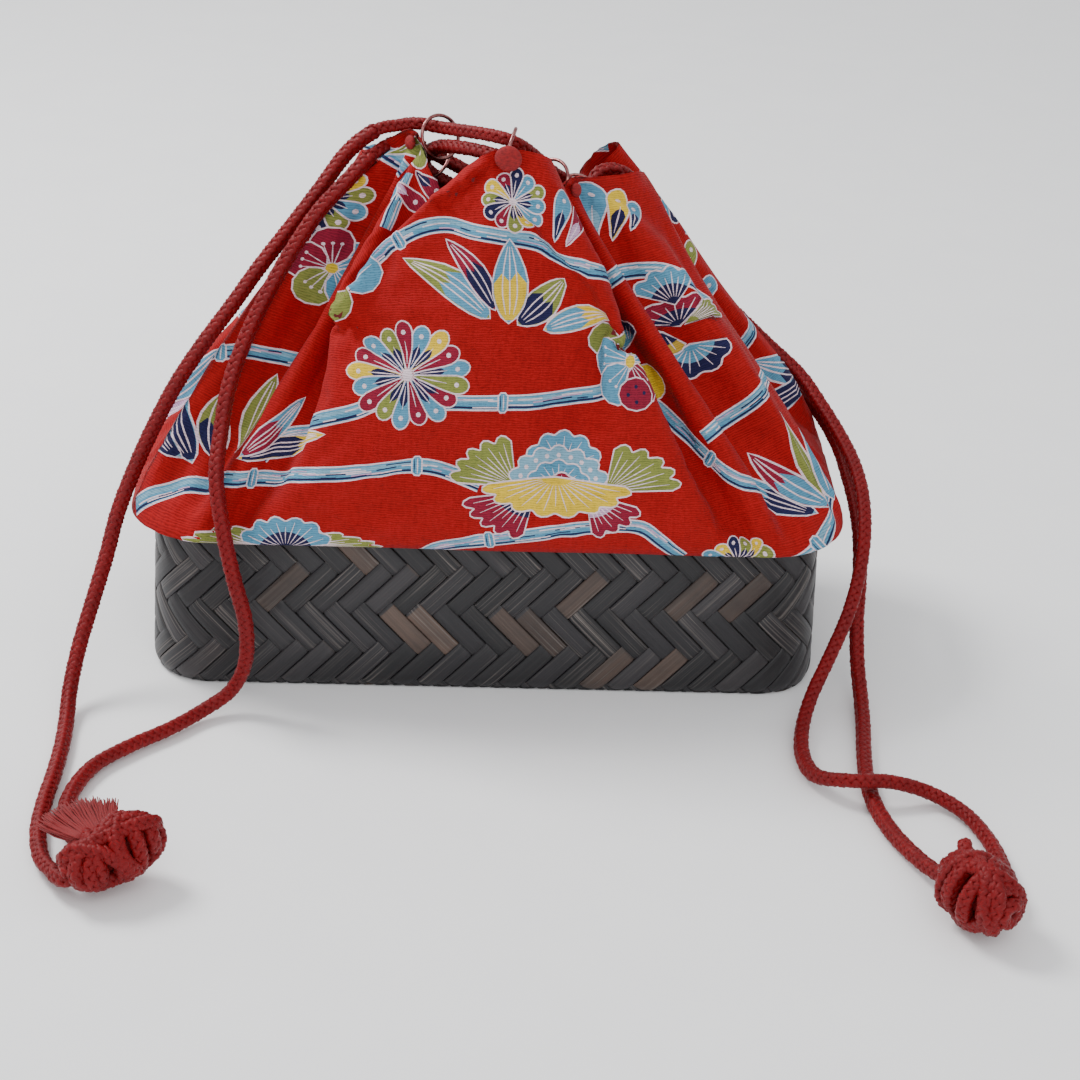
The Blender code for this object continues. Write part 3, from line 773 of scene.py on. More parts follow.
def wall_point(p, z, out):
    """p metres round the wall from the front middle, at height z, out metres proud."""
    f = z / BASKET_H
    w, d = BASKET_W + (BASKET_TOP_W - BASKET_W) * f, BASKET_D + (BASKET_TOP_D - BASKET_D) * f
    r = CORNER_R
    # the foot curls under a little
    ins = 0.0016 * max(0.0, 1 - z / 0.005) ** 2
    (x, y), (nx, ny) = rrect(p / WALL_LEN, w, d, r)
    return (x + nx * (out - ins), y + ny * (out - ins), z)


WALL_LEN = 66 * 0.0098995   # 66 strips of each family go round
CELL = STRIP_W / math.sqrt(2)
LEVEL0 = 0.00305                 # height of weave level 0


def over(level):
    """+1 where this family lies on top, -1 where it dives, for a 3/3 twill."""
    return 1.0 if int(math.floor(level + 0.5)) % 6 < 3 else -1.0


def weave_shape(pos, fixed, family):
    """Height of a strip at position pos (in cells) along it, smooth across each crossing."""
    s = 1.0 if family == 0 else -1.0
    here = s * over(math.floor(pos + 0.5) + fixed)
    f = pos + 0.5 - math.floor(pos + 0.5)          # 0..1 inside the cell
    if f < 0.22:
        prev = s * over(math.floor(pos + 0.5) - 1 + fixed)
        t = 0.5 + f / 0.44
        t = t * t * (3 - 2 * t)
        return prev * (1 - t) + here * t
    if f > 0.78:
        nxt = s * over(math.floor(pos + 0.5) + 1 + fixed)
        t = (f - 0.78) / 0.44
        t = t * t * (3 - 2 * t)
        return here * (1 - t) + nxt * t
    return here


H_WEAVE, T_STRIP, CROWN = 0.00042, 0.00055, 0.00016
ACROSS = [(-0.5, 0.0), (-0.44, 0.55), (-0.2, 0.93), (0.0, 1.0), (0.2, 0.93), (0.44, 0.55), (0.5, 0.0)]


def strip_ribbon(store, family, fixed, lo, hi, place, ranges, shade_of):
    """One strip: across positions ACROSS, sampled along; place(a, b, out) gives the point."""
    rows = []
    marks = []
    q = math.floor(lo) - 1
    while q < hi + 1:
        marks += [q - 0.5 + 0.02, q - 0.34, q - 0.12, q + 0.12, q + 0.34]
        q += 1
    V, F, U, S = store
    base = len(V)
    n = 0
    for k, (x, cr) in enumerate(ACROSS):
        r = ranges(x)
        if r is None:
            return
        a0, a1 = r
        col = []
        keep = [m for m in marks if a0 + 0.06 < m < a1 - 0.06]
        rows.append([a0] + keep + [a1])
    n = max(len(r) for r in rows)
    for k, (x, cr) in enumerate(ACROSS):
        r = rows[k]
        while len(r) < n:               # pad at the far end
            r.append(r[-1])
        for pos in r:
            o = weave_shape(pos, fixed, family) * H_WEAVE + CROWN * cr + T_STRIP / 2 * (1 if cr > 0 else 0.1)
            V.append(place(pos, x * 0.965, o))
            S.append(shade_of(pos))
    cols = len(ACROSS)
    # under side, two lines
    for x in (0.5, -0.5):
        k = 0 if x < 0 else cols - 1
        for pos in rows[k]:
            V.append(place(pos, x * 0.965, weave_shape(pos, fixed, family) * H_WEAVE - T_STRIP / 2))
            S.append(shade_of(pos))
    total = cols + 2
    for k in range(total):
        k2 = (k + 1) % total
        for i in range(n - 1):
            a, b = base + k * n + i, base + k2 * n + i
            F.append((a, a + 1, b + 1, b))
            ua = rows[min(k, cols - 1)][i] * STRIP_W
            ub = rows[min(k, cols - 1)][i + 1] * STRIP_W
            off = fixed * 0.137 + family * 7.3
            va = off + (ACROSS[k][0] if k < cols else 0.6) * STRIP_W
            vb = off + (ACROSS[k2][0] if k2 < cols else 0.6) * STRIP_W
            U += [(ua + fixed * 0.31, va), (ub + fixed * 0.31, va), (ub + fixed * 0.31, vb), (ua + fixed * 0.31, vb)]
    for e in (0, n - 1):
        f = tuple(base + k * n + e for k in range(total))
        F.append(f if e == 0 else f[::-1])
        U += [(0, 0)] * total


BROWN = {}


def shades(seed):
    rng = np.random.default_rng(seed)
    tone = rng.random(400) * 0.62
    warm = rng.random(400)
    for i in range(400):
        if warm[i] > 0.93:
            tone[i] = 0.80 + 0.16 * rng.random()
        elif warm[i] > 0.86:
            tone[i] = 0.70 + 0.06 * rng.random()
    return tone


def build_weave():
    store = ([], [], [], [])
    N = 66
    tones = [shades(11), shades(23)]
    wig = np.random.default_rng(5).random((2, 400, 40))
    # a few strips that are plainly brown where they show on the front
    for p, z, fam, tone in ((-0.0461, 0.0489, 1, 0.90), (-0.0274, 0.0186, 1, 0.97), (-0.0189, 0.0189, 1, 0.99),
                            (0.0115, 0.0197, 1, 0.84), (-0.0794, 0.0327, 0, 0.80), (0.0375, 0.0398, 0, 0.84),
                            (0.0714, 0.0369, 0, 0.82), (0.0250, 0.0201, 1, 0.80)):
        lev, dif = (z - LEVEL0) / CELL, p / CELL
        i, j = (lev - dif) / 2, (lev + dif) / 2
        BROWN[(fam, int(round(i if fam == 0 else j)) % N, int(round(lev)))] = tone
    for fam in (0, 1):
        for fixed in range(N):
            # family 0 runs up to the right (i fixed), family 1 up to the left (j fixed)
            def place(pos, x, out, fam=fam, fixed=fixed):
                if fam == 0:
                    i, j = fixed + x, pos
                else:
                    i, j = pos, fixed + x
                return wall_point(CELL * (j - i), min(max(LEVEL0 + CELL * (i + j), 0.0004), 0.0659), out - 0.00055)

            z_lo, z_hi = 0.0006, 0.0657
            off = {}

            def ranges(x, fixed=fixed):
                return ((z_lo - LEVEL0) / CELL - fixed - x, (z_hi - LEVEL0) / CELL - fixed - x)

            def shade_of(pos, fam=fam, fixed=fixed):
                t = tones[fam][fixed]
                cell = int(math.floor(pos + 0.5))
                lev = cell + fixed
                for d in (0, 1, -1, 2, -2):
                    b = BROWN.get((fam, fixed % N, lev + d))
                    if b and abs(d) <= 2 and over(lev) == over(lev + d):
                        return b
                if t > 0.7 and lev > 12:
                    return t
                return min(t, 0.66) + 0.16 * (wig[fam][fixed][(lev // 3) % 40] - 0.5) if t <= 0.7 else t - 0.1 * wig[fam][fixed][(lev // 3) % 40]

            lo, hi = ranges(0)
            strip_ribbon(store, fam, fixed, lo, hi, place, ranges, shade_of)
    V, F, U, S = store
    n0 = len(V)
    # dark backing behind the strips, closed, with a foot flange; it takes the darkest strip tone as painted shade where
    # the gaps between strips look into the basket
    m = 132
    prof = [(0.0012, 0.0006), (0.0012, 0.0020), (0.0013, 0.034), (0.0013, 0.0655), (0.0026, 0.0655), (0.0026, 0.034),
            (0.0026, 0.0030)]
    for ins, z in prof:
        f = z / BASKET_H
        w, d = BASKET_W + (BASKET_TOP_W - BASKET_W) * f, BASKET_D + (BASKET_TOP_D - BASKET_D) * f
        for i in range(m):
            (x, y), (nx, ny) = rrect(i / m, w, d, CORNER_R)
            V.append((x - nx * ins, y - ny * ins, z))
            # darkest tone: painted shade behind the strips
            S.append(0.02)
    for r in range(len(prof) - 1):
        for i in range(m):
            a, b = n0 + r * m + i, n0 + r * m + (i + 1) % m
            F.append((a, b, b + m, a + m))
            U += [(0, 0)] * 4
    F.append(tuple(n0 + i for i in range(m))[::-1])
    U += [(0, 0)] * m
    F.append(tuple(n0 + (len(prof) - 1) * m + i for i in range(m)))
    U += [(0, 0)] * m
    ob = mesh_object("woven_basket", V, F, uv=U, mats=[M_STRIP])
    at = ob.data.attributes.new("shade", "FLOAT", "POINT")
    at.data.foreach_set("value", np.array(S, dtype=np.float32))
    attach(ob, "root")
    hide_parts("bamboo_basket")
    return ob


def build_bottom():
    """The woven base, clipped to the foot's outline."""
    store = ([], [], [], [])
    w, d, r = BASKET_W - 0.0020, BASKET_D - 0.0020, CORNER_R - 0.001
    loop = [rrect(i / 128, w, d, r)[0] for i in range(128)]
    tones = [shades(41), shades(57)]

    def clip(p0, dr):
        lo, hi = None, None
        ts = []
        for a, b in zip(loop, loop[1:] + loop[:1]):
            ex, ey = b[0] - a[0], b[1] - a[1]
            den = dr[0] * ey - dr[1] * ex
            if abs(den) < 1e-12:
                continue
            t = ((a[0] - p0[0]) * ey - (a[1] - p0[1]) * ex) / den
            u = ((a[0] - p0[0]) * dr[1] - (a[1] - p0[1]) * dr[0]) / den
            if -1e-9 <= u <= 1 + 1e-9:
                ts.append(t)
        return (min(ts), max(ts)) if len(ts) >= 2 else None

    h = math.sqrt(0.5)
    for fam in (0, 1):
        for fixed in range(-24, 25):
            def xy(pos, x, fam=fam, fixed=fixed):
                if fam == 0:
                    i, j = fixed + x, pos
                else:
                    i, j = pos, fixed + x
                return CELL * (j - i), CELL * (i + j)

            def place(pos, x, out):
                a, b = xy(pos, x)
                return (a, b, max(0.0002, 0.0011 - out))

            def ranges(x):
                a0, b0 = xy(0.0, x * 0.965)
                a1, b1 = xy(1.0, x * 0.965)
                c = clip((a0, b0), (a1 - a0, b1 - b0))
                if c is None or c[1] - c[0] < 0.5:
                    return None
                return c

            def shade_of(pos, fam=fam, fixed=fixed):
                return tones[fam][fixed + 100]

            lo = -40
            strip_ribbon(store, fam, fixed, lo, 40, place, ranges, shade_of)
    V, F, U, S = store
    ob = mesh_object("woven_base", V, F, uv=U, mats=[M_STRIP])
    at = ob.data.attributes.new("shade", "FLOAT", "POINT")
    at.data.foreach_set("value", np.array(S, dtype=np.float32))
    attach(ob, "root")


build_weave()
build_bottom()
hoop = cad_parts["basket_rim"]
hoop.data.materials.clear()
hoop.data.materials.append(M_HOOP)


# -------------------------------------------------------- cloth, by simulation
CIRC, HT, NU, NV, K = 0.650, 0.142, 132, 32, 10.0
DV = HT / NV
GUIDES = [
    (-0.022118, 0.123445, (-0.020170, -0.031528, 0.169034)), (-0.040352, 0.108409, (-0.038403, -0.035175, 0.154445)),
    (-0.058341, 0.088165, (-0.056392, -0.040086, 0.134803)), (0.009577, 0.117211, (0.011525, -0.033040, 0.162985)),
    (0.020041, 0.099780, (0.021990, -0.037269, 0.146072)), (0.034616, 0.086440, (0.036565, -0.040504, 0.133130)),
]


def drape():
    """Pouch cloth sewn round the rim, its hem drawn in to the rings: two short cloth runs."""
    ring_s = [p[0] for p in PEAKS] + [1.0]
    verts = []
    for j in range(NV + 1):
        v = j * DV
        for i in range(NU):
            s = i / NU
            (x, y), (nx, ny) = rrect(s, BASKET_W - .004, BASKET_D - .004, CORNER_R)
            for a, b in zip(ring_s[:-1], ring_s[1:]):
                if a <= s < b:
                    ph = (s - a) / (b - a)
            fold = -.012 * (v / HT) * math.sin(math.pi * ph) ** 2
            if j == 0:
                out, z = .0028, BASKET_H - .006
            elif j == 1:
                out, z = .0085, BASKET_H - .0085
            else:
                w = v - DV
                out = .0085 + .004 * math.sin(min(1, w / .020) * math.pi / 2)
                z = BASKET_H - .0085 + w * .985
            verts.append(((x + nx * (out + fold)) * K, (y + ny * (out + fold)) * K, z * K))
    faces = [(j * NU + i, j * NU + (i + 1) % NU, (j + 1) * NU + (i + 1) % NU, (j + 1) * NU + i)
             for j in range(NV) for i in range(NU)]
    R = CIRC / (2 * math.pi)
    flat = [Vector((R * math.cos(2 * math.pi * i / NU) * K, R * math.sin(2 * math.pi * i / NU) * K, j * DV * K))
            for j in range(NV + 1) for i in range(NU)]

    bm = bmesh.new()
    loops = []
    for z, ins in ((-.02, 0.0), (BASKET_H - .004, 0.0), (BASKET_H - .001, .002), (BASKET_H - .001, .012), (BASKET_H - .06, .013)):
        vs = []
        for i in range(96):
            (x, y), (nx, ny) = rrect(i / 96, BASKET_W, BASKET_D, CORNER_R)
            vs.append(bm.verts.new(((x - nx * ins) * K, (y - ny * ins) * K, z * K)))
        loops.append(vs)
    for a, b in zip(loops[:-1], loops[1:]):
        for i in range(96):
            bm.faces.new((a[i], a[(i + 1) % 96], b[(i + 1) % 96], b[i]))
    bm.faces.new(list(reversed(loops[0])))
    bm.faces.new(loops[-1])
    bm.normal_update()
    cm = bpy.data.meshes.new("sim_basket")
    bm.to_mesh(cm)
    bm.free()
    block = bpy.data.objects.new("sim_basket", cm)
    SC.collection.objects.link(block)
    block.modifiers.new("c", "COLLISION")
    block.collision.thickness_outer = .01
    block.collision.cloth_friction = 8

    def setup(ob, press):
        cl = ob.modifiers.new("Cloth", "CLOTH")
        s = cl.settings
        s.quality, s.mass = 8, .25
        s.tension_stiffness = s.compression_stiffness = 40
        s.shear_stiffness, s.bending_stiffness = 15, 4
        s.tension_damping = s.compression_damping = s.shear_damping = 8
        s.bending_damping, s.air_damping = 2, 2
        s.vertex_group_mass, s.pin_stiffness = "pin", 5
        s.rest_shape_key = ob.data.shape_keys.key_blocks["rest"]
        s.use_pressure, s.uniform_pressure_force = True, press
        c = cl.collision_settings
        c.use_collision, c.distance_min, c.collision_quality = True, .015, 3
        c.use_self_collision, c.self_distance_min, c.self_friction = True, .018, 5

    def run(ob, count):
        SC.frame_start, SC.frame_end = 1, count
        for m in ob.modifiers:
            if m.type == "CLOTH":
                m.point_cache.frame_start, m.point_cache.frame_end = 1, count + 5
        for f in range(1, count + 1):
            SC.frame_set(f)
        e = ob.evaluated_get(bpy.context.evaluated_depsgraph_get())
        return np.array([v.co[:] for v in e.data.vertices])

    def make(co):
        me = bpy.data.meshes.new("sim_cloth")
        me.from_pydata([tuple(c) for c in co], [], faces)
        me.update()
        ob = bpy.data.objects.new("sim_cloth", me)
        SC.collection.objects.link(ob)
        ob.shape_key_add(name="Basis")
        rest = ob.shape_key_add(name="rest")
        for i, c in enumerate(flat):
            rest.data[i].co = c
        vg = ob.vertex_groups.new(name="pin")
        vg.add(list(range(2 * NU)), 1.0, "REPLACE")
        return ob, vg

    ob, vg = make(verts)
    tgt = ob.shape_key_add(name="tgt")
    for s, p in PEAKS:
        th = -math.pi / 2 + 2 * math.pi * s
        n_ = Vector((math.cos(th), math.sin(th), 0))
        t_ = Vector((-n_.y, n_.x, 0))
        for di, off in ((-1, -t_ * .0035 - n_ * .002), (0, Vector((0, 0, 0))), (1, t_ * .0035 - n_ * .002)):
            k = (NV - 1) * NU + (int(round(s * NU)) + di) % NU
            vg.add([k], 1.0, "REPLACE")
            tgt.data[k].co = (Vector(p) + off) * K
    for u, v, p in GUIDES:
        k = int(round(v / DV)) * NU + int(round(u / CIRC * NU)) % NU
        vg.add([k], 1.0, "REPLACE")
        tgt.data[k].co = Vector(p) * K
    tgt.value = 0
    tgt.keyframe_insert("value", frame=1)
    tgt.value = 1
    tgt.keyframe_insert("value", frame=45)
    for fc in ob.data.shape_keys.animation_data.action.fcurves:
        for kp in fc.keyframe_points:
            kp.interpolation = "LINEAR"
    setup(ob, .5)
    P = run(ob, 65)
    bpy.data.objects.remove(ob)
    ob, vg = make(P)
    for s, _p in PEAKS:
        for di in (-1, 0, 1):
            vg.add([(NV - 1) * NU + (int(round(s * NU)) + di) % NU], 1.0, "REPLACE")
    setup(ob, .4)
    P = run(ob, 25) / K
    bpy.data.objects.remove(ob)
    bpy.data.objects.remove(block)
    SC.frame_set(1)
    return P.reshape(NV + 1, NU, 3)


GRID = drape()


def tame(P):
    """Keeps the bulge at the back inside the part's own depth."""
    P = P.copy()
    y = P[..., 1]
    P[..., 1] = np.where(y > .054, .054 + (y - .054) * .42, y)
    return P


GRID = tame(GRID)


def surface(u, v):
    """Point on the draped cloth at flat coordinates (metres), smooth between grid points."""
    fu = (np.asarray(u) / CIRC * NU) % NU
    fv = np.clip(np.asarray(v) / DV, 0, NV)
    i = np.floor(fu).astype(int)
    j = np.minimum(np.floor(fv).astype(int), NV - 1)
    a, b = fu - i, fv - j

    def w(t):
        return (-.5 * t + t * t - .5 * t ** 3, 1 - 2.5 * t * t + 1.5 * t ** 3, .5 * t + 2 * t * t - 1.5 * t ** 3, -.5 * t * t + .5 * t ** 3)

    wu, wv = w(a), w(b)
    out = 0.0
    for q in range(4):
        jj = np.clip(j + q - 1, 0, NV)
        row = 0.0
        for p in range(4):
            row = row + GRID[jj, (i + p - 1) % NU] * wu[p][:, None]
        out = out + row * wv[q][:, None]
    return out


def surface_normal(u, v, e=.0006):
    a = surface(u + e, v) - surface(u - e, v)
    b = surface(u, np.minimum(v + e, HT)) - surface(u, np.maximum(v - e, 0))
    n = np.cross(a, b)
    return n / np.maximum(np.linalg.norm(n, axis=1), 1e-12)[:, None]


HEM_TURN = .012                   # the hem is turned in by this much


def cloth_points(u, v):
    """Cut cloth to its place: beyond HT it turns over the hem and runs down inside."""
    t = v - HT
    vv = np.where(t > 0, HT - t, v)
    P, N = surface(u, vv), surface_normal(u, vv)
    off = np.clip((t + .0012) / .0024, 0, 1)
    off = off * off * (3 - 2 * off) * .0011
    P = P - N * off[:, None]
    N = np.where(t[:, None] > 0, -N, N)
    return P, N


# -------------------------------------------------- the dyed pattern, flat, in mm
RED, WHITE = lin(152, 6, 11), lin(226, 208, 216)
BLUE, LBLUE, NAVY = lin(84, 148, 178), lin(120, 170, 192), lin(26, 28, 70)
CRIM, LAV, YEL = lin(132, 24, 50), lin(190, 158, 190), lin(222, 190, 52)
GREEN, OCHRE = lin(124, 136, 66), lin(186, 158, 60)
SHAPES = []


def closed(pts, per=4):
    n = len(pts)
    out = []
    for i in range(n):
        a, b, c, d = (np.array(pts[(i + k) % n], float) for k in (-1, 0, 1, 2))
        for k in range(per):
            t = k / per
            out.append(0.5 * ((2 * b) + (c - a) * t + (2 * a - 5 * b + 4 * c - d) * t * t + (3 * b - 3 * c + d - a) * t ** 3))
    return np.array(out)


def open_line(pts, step=2.0):
    v = catmull([(p[0], p[1], 0) for p in pts], 8)
    v = resample(v, step)
    return np.array([(p.x, p.y) for p in v])


def area2(p):
    x, y = p[:, 0], p[:, 1]
    return float(np.sum(x * np.roll(y, -1) - y * np.roll(x, -1)))


def grow(p, d):
    p = p if area2(p) > 0 else p[::-1]
    e = np.roll(p, -1, 0) - np.roll(p, 1, 0)
    n = np.stack([e[:, 1], -e[:, 0]], 1)
    n /= np.maximum(np.linalg.norm(n, axis=1), 1e-9)[:, None]
    return p + n * d


def shape(p, colour, outline=0.0):
    p = np.asarray(p, float)
    if outline:
        SHAPES.append((grow(p, outline), WHITE))
    SHAPES.append((p, colour))


def stroke(pts, width, colour, step=2.0, taper=True):
    c = open_line(pts, step) if len(pts) > 2 else np.array(pts, float)
    if len(pts) == 2:
        c = np.array([c[0] * (1 - t) + c[1] * t for t in (0, .5, 1)])
    T = np.gradient(c, axis=0)
    T /= np.maximum(np.linalg.norm(T, axis=1), 1e-9)[:, None]
    n = np.stack([-T[:, 1], T[:, 0]], 1)
    w = np.full(len(c), width / 2)
    if taper:
        w[0] *= .35
        w[-1] *= .35
    SHAPES.append((np.concatenate([c + n * w[:, None], (c - n * w[:, None])[::-1]]), colour))


def disc(c, r, colour, n=9, ry=None, outline=0.0):
    a = np.linspace(0, 2 * math.pi, n, endpoint=False)
    shape(np.stack([c[0] + r * np.cos(a), c[1] + (ry or r) * np.sin(a)], 1), colour, outline)


PETAL = [(0.0, 0.0), (0.22, .32), (.5, .72), (.76, 1.0), (.93, .72), (1.0, 0.0)]


def petal(base, tip, width, colour, heart=None, dot=True):
    base, tip = np.array(base, float), np.array(tip, float)
    d = tip - base
    n = np.array([-d[1], d[0]]) / max(np.linalg.norm(d), 1e-9)
    pts = [base + d * a + n * b * width / 2 for a, b in PETAL] + [base + d * a - n * b * width / 2 for a, b in PETAL[-2:0:-1]]
    shape(closed(pts, 2), colour, 0.5)
    if heart is not None:
        low = [base + d * a + n * b * width / 2 for a, b in ((0.02, .05), (.22, .27), (.42, .5), (.56, 0), (.42, -.5), (.22, -.27))]
        shape(closed(low, 2), heart)
    stroke([base + d * .12, base + d * .60], .42, WHITE)
    if dot:
        disc(base + d * .78, min(.85, width * .17), WHITE, 7)


def chrysanthemum(c, rx, ry, rot=0.0, n=17, cols=None):
    cols = cols or [BLUE, CRIM, YEL, BLUE, CRIM, GREEN, BLUE, CRIM, YEL, BLUE, CRIM, GREEN, BLUE, CRIM, BLUE, CRIM, GREEN]
    for k in range(n):
        a = rot + 2 * math.pi * k / n
        q = 1.0 if k % 2 == 0 else .93
        tip = (c[0] + rx * q * math.cos(a), c[1] + ry * q * math.sin(a))
        base = (c[0] + rx * .10 * math.cos(a), c[1] + ry * .10 * math.sin(a))
        petal(base, tip, 2 * math.pi * .80 * (rx + ry) / 2 / n * .95, cols[k % len(cols)], NAVY if k % 3 != 1 else None)
    disc(c, rx * .09, WHITE, 8)


def leaf(base, tip, width, c_tip, c_base, bend=0.08, veins=3):
    base, tip = np.array(base, float), np.array(tip, float)
    d = tip - base
    L = np.linalg.norm(d)
    n = np.array([-d[1], d[0]]) / L

    def mid(t):
        return base + d * t + n * (bend * L * math.sin(math.pi * t))

    def half(t):
        return width / 2 * math.sin(math.pi * min(1, t) ** .82) ** .85

    ts = [0, .08, .2, .34, .5, .66, .8, .91, 1]
    p = [mid(t) + n * half(t) for t in ts] + [mid(t) - n * half(t) for t in ts[-2:0:-1]]
    p = np.array(p)
    shape(p, c_tip, 0.55)
    lo = [0.03, .12, .24, .36, .48]
    q = [mid(t) + n * half(t) * .96 for t in lo] + [mid(.60) + n * half(.6) * .5, mid(.5), mid(.62) - n * half(.6) * .45] + \
        [mid(t) - n * half(t) * .96 for t in lo[::-1]]
    shape(np.array(q), c_base)
    for k in range(veins):
        s = (k - (veins - 1) / 2) / max(1, veins) * 1.25
        stroke([mid(t) + n * half(t) * s for t in (.10, .3, .5, .7, .92)], .46, WHITE, 3.0)


def fan(c, rx, ry, a0, a1, colour, heart=None, lobes=5, ribs=True):
    """Scalloped fan shape: pine, cloud or peony petal."""
    c = np.array(c, float)
    pts = [c]
    a0, a1 = math.radians(a0), math.radians(a1)
    for k in range(lobes):
        for f in (0.06, .3, .5, .7, .94):
            a = a0 + (a1 - a0) * (k + f) / lobes
            r = .86 + .14 * math.sin(math.pi * f)
            pts.append(c + np.array([rx * r * math.cos(a), ry * r * math.sin(a)]))
    shape(np.array(pts), colour, 0.55)
    if heart is not None:
        hp = [c] + [c + np.array([rx * .55 * math.cos(a), ry * .55 * math.sin(a)]) for a in np.linspace(a0, a1, 9)]
        shape(np.array(hp), heart)
    if ribs:
        for k in range(lobes * 2 - 1):
            a = a0 + (a1 - a0) * (k + 1) / (lobes * 2)
            d = np.array([rx * math.cos(a), ry * math.sin(a)])
            stroke([c + d * .2, c + d * (.72 if k % 2 else .86)], .40, WHITE)


def stem(pts, nodes=(), w=4.0, seed=0):
    rng = np.random.default_rng(seed)
    line = open_line(pts, 1.8)
    T = np.gradient(line, axis=0)
    T /= np.linalg.norm(T, axis=1)[:, None]
    n = np.stack([-T[:, 1], T[:, 0]], 1)

    def band(off, width, colour, i0=0, i1=None):
        i1 = len(line) if i1 is None else i1
        a = line[i0:i1] + n[i0:i1] * (off + width / 2)
        b = line[i0:i1] + n[i0:i1] * (off - width / 2)
        if i1 - i0 >= 2:
            SHAPES.append((np.concatenate([a, b[::-1]]), colour))

    band(0, w + 1.1, WHITE)
    band(0, w, BLUE)
    band(w * .22, w * .30, LBLUE)
    band(-w * .36, w * .16, NAVY)
    i = 1
    while i < len(line) - 3:
        k = int(rng.integers(3, 8))
        off = (rng.random() - .5) * w * .72
        band(off, .42, (LAV, WHITE, NAVY, WHITE)[int(rng.integers(0, 4))], i, min(i + k, len(line)))
        i += int(rng.integers(1, 4))
    for p in nodes:
        i = int(np.argmin(np.hypot(*(line - np.array(p)).T)))
        t, m = T[i], n[i]
        c = line[i]
        q = np.array([c - t * 1.5 + m * (w * .5), c - t * .7 + m * (w * .72), c + t * .7 + m * (w * .72), c + t * 1.5 + m * (w * .5),
                      c + t * 1.5 - m * (w * .5), c + t * .7 - m * (w * .72), c - t * .7 - m * (w * .72), c - t * 1.5 - m * (w * .5)])
        shape(q, BLUE, .5)
        stroke([c - t * .9 + m * w * .6, c - t * .9 - m * w * .6], .4, NAVY)
        stroke([c + t * .2 + m * w * .62, c + t * .2 - m * w * .62], .55, WHITE)


def plum(c, r, cols, rot=0.3, squash=1.0):
    for k in range(5):
        a = rot + 2 * math.pi * k / 5
        p = (c[0] + r * .56 * math.cos(a), c[1] + r * .56 * math.sin(a) * squash)
        disc(p, r * .44, cols[k % len(cols)], 12, r * .44 * squash, .5)
    for k in range(5):
        a = rot + 2 * math.pi * k / 5
        for da in (-.3, 0, .3):
            q = (c[0] + r * .62 * math.cos(a + da), c[1] + r * .62 * math.sin(a + da) * squash)
            stroke([(c[0], c[1]), q], .38, WHITE)
            disc(q, .55, WHITE, 6)
    disc(c, r * .13, YEL, 7)


